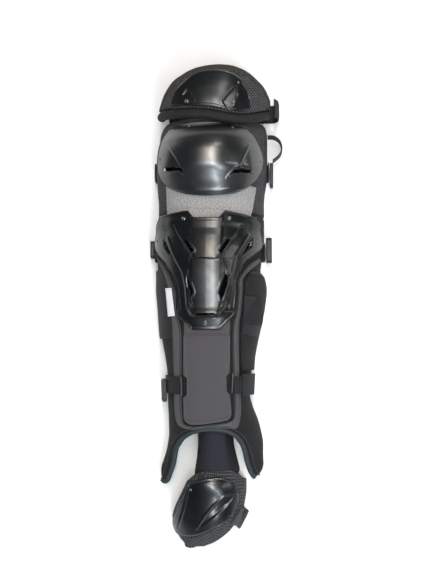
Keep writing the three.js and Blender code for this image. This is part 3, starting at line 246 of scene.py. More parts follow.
# A piece from an outer and an inner grid of points, with lengths in metres as its UV map
def makePiece(name, outer, inner, material, nodeName=None, sharp=40):
    rows, cols = outer.shape[:2]
    n = rows * cols
    vertices = np.vstack([meters(outer).reshape(-1, 3), meters(inner).reshape(-1, 3)])
    index = np.arange(n).reshape(rows, cols)
    a, b, c, d = index[:-1, :-1], index[:-1, 1:], index[1:, 1:], index[1:, :-1]
    face = np.stack([a, b, c, d], -1).reshape(-1, 4)
    back = np.stack([d, c, b, a], -1).reshape(-1, 4) + n
    ring = np.r_[index[0, :], index[1:, -1], index[-1, -2::-1], index[-2:0:-1, 0]]
    after = np.roll(ring, -1)
    wall = np.stack([after, ring, ring + n, after + n], -1)
    faces = np.vstack([face, back, wall])
    p = vertices[faces[: len(face)]]
    middle = vertices[:n].mean(0) * [1, 1, 0]
    facing = np.sum(np.cross(p[:, 2] - p[:, 0], p[:, 3] - p[:, 1]) * (p.mean(1) - middle))
    if facing < 0:
        faces = faces[:, ::-1]
    mesh = bpy.data.meshes.new(name)
    mesh.from_pydata(vertices.tolist(), [], faces.tolist())
    across, along = gridLengths(outer)
    across = across - across[:, cols // 2 : cols // 2 + 1]
    uv = np.stack([across, along], -1).reshape(-1, 2) / 1000
    layer = mesh.uv_layers.new(name="wrap")
    layer.data.foreach_set("uv", np.vstack([uv, uv])[faces.reshape(-1)].ravel())
    obj = bpy.data.objects.new(name, mesh)
    bpy.context.scene.collection.objects.link(obj)
    mesh.materials.append(material)
    mesh.shade_smooth()
    mesh.set_sharp_from_angle(angle=math.radians(sharp))
    return enrol(obj, nodeName)


def enrol(obj, nodeName=None):
    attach(obj, "root")
    if nodeName:
        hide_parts(nodeName)
    return obj


# Materials
def shader(name, color, roughness, **sockets):
    material = bpy.data.materials.new(name)
    material.use_nodes = True
    core = material.node_tree.nodes["Principled BSDF"]
    core.inputs["Base Color"].default_value = (*color, 1)
    core.inputs["Roughness"].default_value = roughness
    for key, value in sockets.items():
        core.inputs[key.replace("_", " ")].default_value = value
    return material


def node(material, kind, inputs=None, **settings):
    made = material.node_tree.nodes.new("ShaderNode" + kind)
    for key, value in settings.items():
        setattr(made, key, value)
    for key, value in (inputs or {}).items():
        if isinstance(value, bpy.types.NodeSocket):
            material.node_tree.links.new(value, made.inputs[key])
        else:
            made.inputs[key].default_value = value
    return made


def maths(material, operation, *values):
    return node(material, "Math", dict(enumerate(values)), operation=operation).outputs[0]


# Cells on the wrap map, cell sizes in millimetres
def cells(material, across, along, turn=0.0):
    uv = node(material, "UVMap", uv_map="wrap").outputs[0]
    return node(material, "Mapping", {
        "Vector": uv, "Scale": (1000 / across, 1000 / along, 1), "Rotation": (0, 0, turn),
    }, vector_type="POINT").outputs[0]


def feed(material, value, socket):
    material.node_tree.links.new(value, material.node_tree.nodes["Principled BSDF"].inputs[socket])


def colored(material, factor, dark, light, start=0.0, end=1.0):
    mix = node(material, "ValToRGB", {"Fac": factor})
    for stop, place, color in zip(mix.color_ramp.elements, (start, end), (dark, light)):
        stop.position = place
        stop.color = (*color, 1)
    feed(material, mix.outputs[0], "Base Color")


def raised(material, height, distance, strength=1.0):
    bumped = node(material, "Bump", {"Height": height, "Distance": distance, "Strength": strength})
    feed(material, bumped.outputs[0], "Normal")


def noise(material, vector, scale, detail, roughness=0.5):
    return node(material, "TexNoise", {
        "Vector": vector, "Scale": scale, "Detail": detail, "Roughness": roughness,
    }).outputs["Fac"]


# Sine of a value counted in whole waves
def waves(material, value):
    return maths(material, "SINE", maths(material, "MULTIPLY", value, 2 * math.pi))


# Open mesh: rows of long holes, each row half a hole along
def meshCloth(name, dark, light, across, along, thread, turn=0.0):
    material = shader(name, light, 0.82, Specular_IOR_Level=0.28)
    holes = node(material, "TexBrick", {
        "Vector": cells(material, across, along, turn), "Scale": 1.0, "Mortar Size": thread,
        "Mortar Smooth": 0.7, "Brick Width": 1.0, "Row Height": 1.0, "Color1": (0, 0, 0, 1),
        "Color2": (0, 0, 0, 1), "Mortar": (1, 1, 1, 1),
    }).outputs["Fac"]
    fuzz = noise(material, cells(material, 9, 9), 1.0, 3.0)
    shade = maths(material, "MULTIPLY", holes, maths(material, "ADD", fuzz, 0.35))
    colored(material, shade, dark, light)
    raised(material, holes, 0.0006, 0.8)
    return material


# Herringbone: slanted threads that turn back every column
def herringbone(name, dark, light, column, thread):
    material = shader(name, light, 0.78, Specular_IOR_Level=0.3)
    split = node(material, "SeparateXYZ", {0: cells(material, column, thread)})
    fold = maths(material, "PINGPONG", split.outputs[0], 1.0)
    run = maths(material, "MULTIPLY_ADD", fold, column / thread, split.outputs[1])
    level = maths(material, "MULTIPLY_ADD", waves(material, run), 0.5, 0.5)
    colored(material, level, dark, light)
    raised(material, level, 0.0005, 0.7)
    return material


# Webbing: ribs across the strap and a fine twist along it
def webbing(name, dark, light, rib, column):
    material = shader(name, light, 0.7, Specular_IOR_Level=0.35)
    split = node(material, "SeparateXYZ", {0: cells(material, column, rib)})
    ribs, lines = waves(material, split.outputs[1]), waves(material, split.outputs[0])
    both = maths(material, "ADD", ribs, maths(material, "MULTIPLY", lines, 0.5))
    level = maths(material, "MULTIPLY_ADD", both, 0.33, 0.5)
    colored(material, level, dark, light)
    raised(material, level, 0.0004, 0.7)
    return material


# Brushed or melange knit
def knit(name, dark, light, grain, rib, **sockets):
    material = shader(name, light, 0.9, Specular_IOR_Level=0.2, **sockets)
    flecks = noise(material, cells(material, grain, grain * 0.45), 1.0, 5.0, 0.75)
    split = node(material, "SeparateXYZ", {0: cells(material, rib, rib)})
    loops, rows = waves(material, split.outputs[0]), waves(material, split.outputs[1])
    level = maths(material, "MULTIPLY_ADD", maths(material, "MULTIPLY", loops, rows), 0.12, flecks)
    colored(material, level, dark, light, 0.32, 0.7)
    raised(material, level, 0.0004, 0.6)
    return material


# Moulded plastic: a slight waviness, and faint wear in its gloss
def moulded(name, color, roughness, coat, index=1.5):
    material = shader(name, color, roughness, Coat_Weight=coat, Coat_Roughness=0.12, IOR=index)
    place = node(material, "TexCoord").outputs["Object"]
    level = node(material, "MapRange", {
        "Value": noise(material, place, 38.0, 6.0, 0.7), "From Min": 0.35, "From Max": 0.75,
        "To Min": roughness, "To Max": roughness + 0.09,
    })
    feed(material, level.outputs[0], "Roughness")
    raised(material, noise(material, place, 60.0, 2.0), 0.00012, 0.5)
    return material


# Plastics and metals: colour and roughness, then the coat and the index of the gloss
blackPlastic = (0.0030, 0.0037, 0.0046)
gloss = moulded("glossShell", blackPlastic, 0.27, coat=0.1)
kneeGloss = moulded("kneeGloss", blackPlastic, 0.28, coat=0.1, index=1.85)
# Painted shade: flat black without gloss on the floors of the slots and the shin's tab, standing in for the
# dark inside of the openings
slotBlack = shader("slotBlack", (0.002, 0.002, 0.002), 0.9, Specular_IOR_Level=0.0)
satin = moulded("satinPlastic", (0.007, 0.007, 0.008), 0.5, coat=0.0)
steel = shader("wireSteel", (0.10, 0.10, 0.105), 0.38, Metallic=0.8)
studCap = shader("studCap", (0.13, 0.13, 0.135), 0.22, Metallic=0.85)
floorWhite = shader("paleFloor", (0.76, 0.76, 0.76), 0.95, Specular_IOR_Level=0.0)

# Cloths: the dark and the light colour, then the two sizes of the pattern in millimetres; a mesh
# also has the share of its thread, and a turn
padMesh = meshCloth("padMesh", (0.0004, 0.0004, 0.0006), (0.085, 0.085, 0.090), 4.8, 2.7, 0.25)
sideMesh = meshCloth("sideMesh", (0.0003, 0.0003, 0.0004), (0.019, 0.019, 0.021), 4.4, 3.1, 0.26, 0.5)
rollWeave = herringbone("rollWeave", (0.0004, 0.0004, 0.0006), (0.020, 0.020, 0.022), 6.0, 2.8)
borderWeave = herringbone("borderWeave", (0.002, 0.002, 0.0025), (0.135, 0.135, 0.142), 4.2, 2.6)
melange = knit("melangeKnit", (0.065, 0.061, 0.062), (0.46, 0.44, 0.44), 2.4, 1.5)
charcoal = knit("charcoalKnit", (0.026, 0.0245, 0.026), (0.090, 0.085, 0.090), 1.5, 0.9, Sheen_Weight=0.25)
navy = knit("navyKnit", (0.005, 0.006, 0.009), (0.030, 0.032, 0.040), 2.4, 1.5)
rim = knit("rimCloth", (0.020, 0.018, 0.017), (0.056, 0.051, 0.047), 1.2, 0.9)
patchCloth = knit("patchCloth", (0.006, 0.006, 0.007), (0.024, 0.024, 0.027), 1.2, 0.9)
labelWhite = knit("labelCloth", (0.62, 0.62, 0.64), (0.82, 0.82, 0.84), 1.0, 0.7)
elastic = webbing("blackElastic", (0.0012, 0.0012, 0.0015), (0.016, 0.016, 0.018), 2.4, 1.3)
smoothElastic = webbing("toeElastic", (0.018, 0.018, 0.020), (0.052, 0.052, 0.056), 0.8, 0.7)
bindingCloth = shader("edgeBinding", (0.022, 0.030, 0.033), 0.62, Specular_IOR_Level=0.3)
thread = shader("blackThread", (0.045, 0.045, 0.047), 0.6)
paleThread = shader("paleThread", (0.17, 0.17, 0.18), 0.6)
print("materials done")


# Geometry Nodes: one tree each for stitches, swept cords and studs
def newTree(name, sockets):
    tree = bpy.data.node_groups.new(name, "GeometryNodeTree")
    tree.interface.new_socket("Geometry", in_out="INPUT", socket_type="NodeSocketGeometry")
    for label, kind, value in sockets:
        made = tree.interface.new_socket(label, in_out="INPUT", socket_type="NodeSocket" + kind)
        if value is not None:
            made.default_value = value
    tree.interface.new_socket("Geometry", in_out="OUTPUT", socket_type="NodeSocketGeometry")
    return tree


def geo(tree, kind, inputs=None, **settings):
    made = tree.nodes.new(kind)
    for key, value in settings.items():
        setattr(made, key, value)
    for key, value in (inputs or {}).items():
        if isinstance(value, bpy.types.NodeSocket):
            tree.links.new(value, made.inputs[key])
        else:
            made.inputs[key].default_value = value
    return made


def closeTree(tree, geometry, material):
    real = geo(tree, "GeometryNodeRealizeInstances", {0: geometry})
    done = geo(tree, "GeometryNodeSetMaterial", {"Geometry": real.outputs[0], "Material": material})
    smooth = geo(tree, "GeometryNodeSetShadeSmooth", {0: done.outputs[0]})
    out = tree.nodes.new("NodeGroupOutput")
    tree.links.new(smooth.outputs[0], out.inputs[0])


stitchTree = newTree("stitchRow", [
    ("Pitch", "Float", 0.003), ("Length", "Float", 0.0022), ("Radius", "Float", 0.0004),
    ("Seed", "Int", 7), ("Material", "Material", None),
])
source = stitchTree.nodes.new("NodeGroupInput").outputs
spots = geo(stitchTree, "GeometryNodeCurveToPoints", {
    "Curve": geo(stitchTree, "GeometryNodeMeshToCurve", {0: source["Geometry"]}).outputs[0],
    "Length": source["Pitch"],
}, mode="LENGTH")
wobble = geo(stitchTree, "FunctionNodeRandomValue", {
    "Min": (-0.05, -0.05, 0), "Max": (0.05, 0.05, 0), "Seed": source["Seed"],
}, data_type="FLOAT_VECTOR")
turned = geo(stitchTree, "FunctionNodeRotateRotation", {
    "Rotation": spots.outputs["Rotation"], "Rotate By": wobble.outputs[0],
}, rotation_space="LOCAL")
bead = geo(stitchTree, "GeometryNodeMeshUVSphere", {"Segments": 6, "Rings": 5, "Radius": 0.5})
halfWide = geo(stitchTree, "ShaderNodeMath", {0: source["Radius"], 1: 2.0}, operation="MULTIPLY").outputs[0]
beadSize = geo(stitchTree, "ShaderNodeCombineXYZ", {0: halfWide, 1: halfWide, 2: source["Length"]}).outputs[0]
stitched = geo(stitchTree, "GeometryNodeInstanceOnPoints", {
    "Points": spots.outputs["Points"], "Instance": bead.outputs[0],
    "Rotation": turned.outputs[0], "Scale": beadSize,
})
closeTree(stitchTree, stitched.outputs[0], source["Material"])

sweepTree = newTree("sweptCord", [
    ("Width", "Float", 0.007), ("Height", "Float", 0.007), ("Sides", "Int", 20),
    ("Material", "Material", None),
])
source = sweepTree.nodes.new("NodeGroupInput").outputs
line = geo(sweepTree, "GeometryNodeMeshToCurve", {0: source["Geometry"]}).outputs[0]
even = geo(sweepTree, "GeometryNodeResampleCurve", {"Curve": line, "Length": 0.0016}, mode="LENGTH")
ring = geo(sweepTree, "GeometryNodeCurvePrimitiveCircle", {
    "Resolution": source["Sides"], "Radius": 0.5,
}).outputs["Curve"]
profileSize = geo(sweepTree, "ShaderNodeCombineXYZ", {
    0: source["Width"], 1: source["Height"], 2: 1.0,
}).outputs[0]
profile = geo(sweepTree, "GeometryNodeTransform", {"Geometry": ring, "Scale": profileSize}).outputs[0]
place = geo(sweepTree, "GeometryNodeSplineParameter").outputs
lengthwise = geo(sweepTree, "GeometryNodeCaptureAttribute", {"Geometry": even.outputs[0]}, domain="POINT")
lengthwise.capture_items.new("FLOAT", "Run")
sweepTree.links.new(place["Length"], lengthwise.inputs["Run"])
girthwise = geo(sweepTree, "GeometryNodeCaptureAttribute", {"Geometry": profile}, domain="POINT")
girthwise.capture_items.new("FLOAT", "Round")
sweepTree.links.new(place["Factor"], girthwise.inputs["Round"])
tube = geo(sweepTree, "GeometryNodeCurveToMesh", {
    "Curve": lengthwise.outputs["Geometry"], "Profile Curve": girthwise.outputs["Geometry"],
    "Fill Caps": True,
})
girth = geo(sweepTree, "ShaderNodeMath", {0: source["Width"], 1: 3.1416}, operation="MULTIPLY").outputs[0]
aroundLength = geo(sweepTree, "ShaderNodeMath", {
    0: girthwise.outputs["Round"], 1: girth,
}, operation="MULTIPLY").outputs[0]
wrap = geo(sweepTree, "ShaderNodeCombineXYZ", {0: aroundLength, 1: lengthwise.outputs["Run"]}).outputs[0]
kept = geo(sweepTree, "GeometryNodeStoreNamedAttribute", {
    "Geometry": tube.outputs[0], "Name": "wrap", "Value": wrap,
}, data_type="FLOAT2", domain="CORNER")
closeTree(sweepTree, kept.outputs[0], source["Material"])

studTree = newTree("studs", [("Stud", "Object", None), ("Material", "Material", None)])
source = studTree.nodes.new("NodeGroupInput").outputs
facing = geo(studTree, "GeometryNodeInputNamedAttribute", {
    "Name": "facing",
}, data_type="FLOAT_VECTOR").outputs[0]
size = geo(studTree, "GeometryNodeInputNamedAttribute", {"Name": "size"}, data_type="FLOAT").outputs[0]
aimed = geo(studTree, "FunctionNodeAlignRotationToVector", {"Vector": facing}, axis="Z").outputs[0]
shape = geo(studTree, "GeometryNodeObjectInfo", {"Object": source["Stud"]}).outputs["Geometry"]
seated = geo(studTree, "GeometryNodeInstanceOnPoints", {
    "Points": geo(studTree, "GeometryNodeMeshToPoints", {0: source["Geometry"]}).outputs[0],
    "Instance": shape, "Rotation": aimed, "Scale": size,
})
closeTree(studTree, seated.outputs[0], source["Material"])


# Runs a tree on a mesh and keeps the result as the piece's own mesh
def grown(name, mesh, tree, **values):
    obj = bpy.data.objects.new(name, mesh)
    bpy.context.scene.collection.objects.link(obj)
    modifier = obj.modifiers.new("grow", "NODES")
    modifier.node_group = tree
    for item in tree.interface.items_tree:
        if item.in_out == "INPUT" and item.name in values:
            modifier[item.identifier] = values[item.name]
    obj.update_tag()
    bpy.context.view_layer.update()
    result = bpy.data.meshes.new_from_object(obj.evaluated_get(bpy.context.evaluated_depsgraph_get()))
    obj.modifiers.clear()
    obj.data = result
    result.name = name
    return obj


# A mesh of edges alone, one chain for each line of points
def lineMesh(name, lines):
    vertices, edges = [], []
    for line in lines:
        first = len(vertices)
        vertices += meters(line).tolist()
        edges += [(i, i + 1) for i in range(first, len(vertices) - 1)]
    mesh = bpy.data.meshes.new(name)
    mesh.from_pydata(vertices, edges, [])
    return mesh


# Sewn lines: the pitch, length and radius of the stitches in millimetres
def stitches(name, lines, material, pitch, length, radius):
    return enrol(grown(
        name, lineMesh(name, lines), stitchTree, Pitch=pitch / 1000, Length=length / 1000,
        Radius=radius / 1000, Seed=7, Material=material,
    ), None)


# Cords of some width and height swept along lines
def swept(name, lines, width, height, material, nodeName=None):
    return enrol(grown(
        name, lineMesh(name, lines), sweepTree, Width=width / 1000, Height=height / 1000,
        Sides=20, Material=material,
    ), nodeName)


# A line drawn in plan, laid on a form at some height
def lineOn(form, points, offset, count=60, smooth=True):
    xy = resample(points, np.linspace(0, 1, count), smooth)
    turn, along = locate(form, xy[:, 0], xy[:, 1], offset)
    return lifted(form, turn, along, np.full(count, float(offset)))


print("trees done")


# Sections of the leg, the thigh cap, the tongue and the toe
legForm = makeForm([
    (233, 66, 72, 66, 2.3), (225.1, 70, 76, 75, 2.3), (215.2, 73, 77, 87, 2.3), (205.3, 74, 77, 100, 2.25),
    (190.1, 77, 77, 113, 2.2), (174.9, 78, 77, 118, 2.2), (159.7, 78, 77, 117, 2.2),
    (145.2, 77, 75, 110, 2.2), (132, 76, 73, 99, 2.25), (118.1, 75, 72, 87, 2.35),
    (108.2, 75, 72, 84, 2.4), (95, 76, 72, 85, 2.4), (75.2, 78, 72, 88, 2.4), (54.8, 78, 70.5, 91, 2.35),
    (25.1, 76, 67, 92, 2.3), (0, 76, 71, 90, 2.3), (-25.1, 73.5, 68, 87, 2.3), (-60.1, 71, 61, 83, 2.3),
    (-95, 65, 54.5, 80, 2.35), (-120.1, 62, 53, 78, 2.4), (-145.2, 61.5, 52, 76, 2.4),
    (-159.7, 61, 55, 75, 2.4), (-180.2, 60, 63, 74, 2.4), (-194.7, 60, 67, 71, 2.35),
    (-211.9, 62, 70, 60, 2.3), (-235, 68, 70.5, 46, 2.3), (-250.1, 74.5, 72, 38, 2.25),
    (-262, 77.5, 73, 31, 2.2), (-275.2, 78, 73, 25, 2.2),
])
thighForm = makeForm([
    (310.2, 72, 77, 72, 2.35), (300.3, 73, 79, 77, 2.35), (281.8, 75, 82, 86, 2.35),
    (262, 76, 83, 93, 2.35), (240.2, 76, 82, 97, 2.35), (215.2, 74, 80, 97, 2.35),
])
tongueForm = makeForm([
    (-170.3, 27, 27, 66.2, 2.2), (-180.2, 27, 27, 65.6, 2.2), (-194.7, 27, 27, 63.5, 2.2),
    (-209.9, 27.4, 28.3, 60.2, 2.2), (-225.1, 29, 32, 58.3, 2.2), (-252.1, 33, 38, 56, 2.2),
], centre=6.0)
toeForm = makeForm([
    (-13.9, 38, 38, 52, 2.2), (0, 42, 42, 56, 2.2), (19.8, 48, 48, 61, 2.2), (44.9, 50, 50, 56, 2.2),
    (70, 44, 46, 44, 2.2), (89.8, 33, 36, 31, 2.2), (104.3, 22, 24, 19, 2.2), (112.2, 12, 13, 12, 2.2),
], origin=(6.0, -246.2), heading=(-0.3, -0.954))
print("forms done")


# A second material on the outer faces that a mask picks
def twoCloths(obj, mask, second):
    obj.data.materials.append(second)
    index = np.zeros(len(obj.data.polygons), np.int32)
    picked = mask[:-1, :-1] & mask[1:, 1:]
    index[: picked.size] = picked.reshape(-1)
    obj.data.polygons.foreach_set("material_index", index)


# Raised or sunk lines: the height, the half width and the plan points of each
def creases(x, y, lines):
    total = np.zeros(x.shape)
    for height, width, line in lines:
        total += height * bump(lineDistance(x, y, line), width)
    return total


# How far places lie above a line of plan points
def above(x, y, line):
    return y - np.interp(x, *zip(*line))


# Place at the share s between b and c of a smooth line through a, b, c and d
def smoothStep(a, b, c, d, s):
    return 0.5 * (2 * b + (c - a) * s + (2 * a - 5 * b + 4 * c - d) * s * s + (3 * b - a - 3 * c + d) * s**3)


# Hard shells: a dense grid on the form, its height worked out from drawn features
shellWall = {"lip": 1.1, "least": 0.5, "slotEdge": 0.3}


def shellPiece(name, form, parts, relief, material, nodeName, base=None, crown=None):
    us, vs = [steps(count, 4, 0.009) for count in parts["counts"]]
    turn, along = filled(form, parts, us, vs, parts.get("lift", layerGap + shellThickness))
    under = base(along) if base else np.full(turn.shape, layerGap)
    top = (crown(along) if crown else under) + shellThickness
    flat = lifted(form, turn, along, top)
    reach = edgeReach(flat)
    height = relief(flat[..., 0], flat[..., 1], reach)
    top = top + height - rounded(reach, shellWall["lip"]) * shellWall["lip"]
    outer = lifted(form, turn, along, top)
    inner = lifted(form, turn, along, np.minimum(under, top - shellWall["least"]))
    piece = makePiece(name, outer, inner, material, nodeName)
    # The faces inside the slots take the painted shade of the openings
    if "slots" in parts:
        depth = np.max([inside(flat[..., 0], flat[..., 1], slot) for slot in parts["slots"]], axis=0)
        twoCloths(piece, depth > shellWall["slotEdge"], slotBlack)
    return piece


# Thigh shell: two sunk faces, each with a chevron crease, a slit and a sewn lower edge
thighShellParts = {
    "bottom": [
        (-53, 242.2), (-33, 240.2), (-17, 238.3), (3, 236.9), (18, 234.3), (33, 232.3), (44, 233),
        (56, 236.3),
    ],
    "top": [
        (-40, 268), (-32, 275.9), (-22, 284.5), (-9, 289.7), (8, 291.1), (24, 289.1), (36, 283.1),
        (43, 275.2),
    ],
    "left": [(-53, 242.2), (-51, 250.1), (-47, 258.7), (-40, 268)],
    "right": [(56, 236.3), (56, 246.8), (51, 260.7), (43, 275.2)],
    "counts": (160, 100),
    "chevrons": [
        {"face": [(36, 268), (17.5, 243), (24, 233), (34, 238), (40, 252)],
         "crease": [(35, 267), (18, 243), (24, 234)]},
        {"face": [(-29, 263), (-17.5, 246), (-23, 240), (-33, 243), (-38, 252)],
         "crease": [(-28, 262), (-18, 246), (-23, 241)]},
    ],
    "faceDepth": 2.0, "faceReach": 16, "creaseHeight": 0.5, "creaseWidth": 1.6,
    "slots": [[(47.5, 262), (49.5, 262), (56.5, 240), (54.5, 240)]],
    "slotDepth": 2.0,
    "hem": [(-52, 240), (-33, 242), (-17, 243), (3, 241), (18, 238), (32, 235), (42, 233), (53, 234)],
    "hemDepth": 0.9, "beadHeight": 0.35,
}


def thighRelief(x, y, reach):
    parts = thighShellParts
    height = np.zeros(x.shape)
    for chevron in parts["chevrons"]:
        away = lineDistance(x, y, chevron["crease"])
        face = ramp(inside(x, y, chevron["face"]), -0.4, 1.6)
        height -= parts["faceDepth"] * face * bump(away, parts["faceReach"])
        height += parts["creaseHeight"] * bump(away, parts["creaseWidth"])
    height -= parts["slotDepth"] * ramp(inside(x, y, parts["slots"][0]), -0.2, 0.9)
    hem = parts["hemDepth"] * (1 - ramp(above(x, y, parts["hem"]), -1.5, 0.9))
    return height - hem + parts["beadHeight"] * bump(np.abs(reach - 1.6), 1.1)


thighShell = shellPiece("thighShell", thighForm, thighShellParts, thighRelief, gloss, "thigh_shell")

# Knee shell: a dome with two sunk arrow faces, each ending in a slot painted black as shade, and a raised lip
# below
kneeShellParts = {
    "bottom": [
        (-62, 137.9), (-51, 128.7), (-33, 121.4), (-9, 118.1), (15, 118.1), (32, 120.8), (49, 128),
        (62, 139.3),
    ],
    "top": [(-58, 213.2), (-46, 219.1), (-20, 223.1), (0, 223.1), (20, 221.1), (40, 216.5), (54, 211.2)],
    "left": [
        (-62, 137.9), (-68, 147.2), (-71.5, 157.7), (-72, 174.2), (-70, 188.8), (-66, 202), (-58, 213.2),
    ],
    "right": [(62, 139.3), (69, 149.2), (73, 161), (74, 174.2), (70, 188.8), (63, 202), (54, 211.2)],
    "counts": (210, 170), "lift": 7.0,
    "baseFall": (136, 149.8), "crownFall": (128, 208),
    "slots": [
        [(-60, 157), (-45, 154.5), (-37, 152), (-28.5, 142), (-39, 148.3), (-60, 152.2)],
        [(58, 152.4), (44, 150.8), (35, 149.6), (25, 139.2), (33.5, 145.2), (44, 146.6), (58.5, 148.2)],
    ],
    "slotDepth": 3.2,
    "faces": [
        {"outline": [(-53, 187), (-33.5, 151.5), (-29.5, 143.5), (-40, 151), (-61, 153.5)],
         "hinge": [(-53, 189), (-62, 150)], "edge": 2.2, "top": 190},
        {"outline": [(54, 186), (42.5, 156), (35.5, 151.5), (25.5, 140.5), (35, 148.5), (59, 151)],
         "hinge": [(54.5, 188), (61, 148)], "edge": 3.4, "top": 189},
    ],
    "faceDepth": 4.4,
    "ridges": [
        (0.3, 2.2, [(-53, 187), (-34, 152.5), (-29, 143)]),
        (0.45, 2.2, [(54, 186), (42, 156), (34.5, 151), (25, 139.5)]),
    ],
    "lip": [(-62, 143), (-50, 134), (-33, 128), (-9, 125.5), (15, 126), (32, 127.5), (49, 134), (62, 144)],
    "lipHeight": 1.15, "lipReach": 46, "hemDepth": 0.5, "beadHeight": 0.45,
}


def kneeBase(along):
    return overPanel + (layerGap - overPanel) * ramp(along, *kneeShellParts["baseFall"])


def kneeCrown(along):
    return overPanel + (layerGap - overPanel) * ramp(along, *kneeShellParts["crownFall"])


def kneeRelief(x, y, reach):
    parts = kneeShellParts
    slope = np.zeros(x.shape)
    for face in parts["faces"]:
        share = ramp(inside(x, y, face["outline"]), 0, face["edge"]) * np.clip((face["top"] - y) / 38, 0, 1)
        slope -= parts["faceDepth"] * share * ramp(lineDistance(x, y, face["hinge"]), 0, 20)
    slotsIn = np.maximum(*[inside(x, y, slot) for slot in parts["slots"]])
    slots = -parts["slotDepth"] * ramp(slotsIn, -0.2, 0.9)
    low = above(x, y, parts["lip"])
    lip = parts["lipHeight"] * (1 - ramp(low, -0.4, 1.6)) * ramp(low, -9.0, -6.0)
    lip = lip * bump(np.abs(x - 3), parts["lipReach"])
    bead = parts["beadHeight"] * bump(np.abs(reach - 1.3), 1.0)
    hem = -parts["hemDepth"] * (1 - ramp(reach, 2.6, 3.8)) + bead
    return slope + creases(x, y, parts["ridges"]) + slots + lip + hem


kneeShell = shellPiece("kneeShell", legForm, kneeShellParts, kneeRelief, kneeGloss, "knee_shell",
                       kneeBase, kneeCrown)

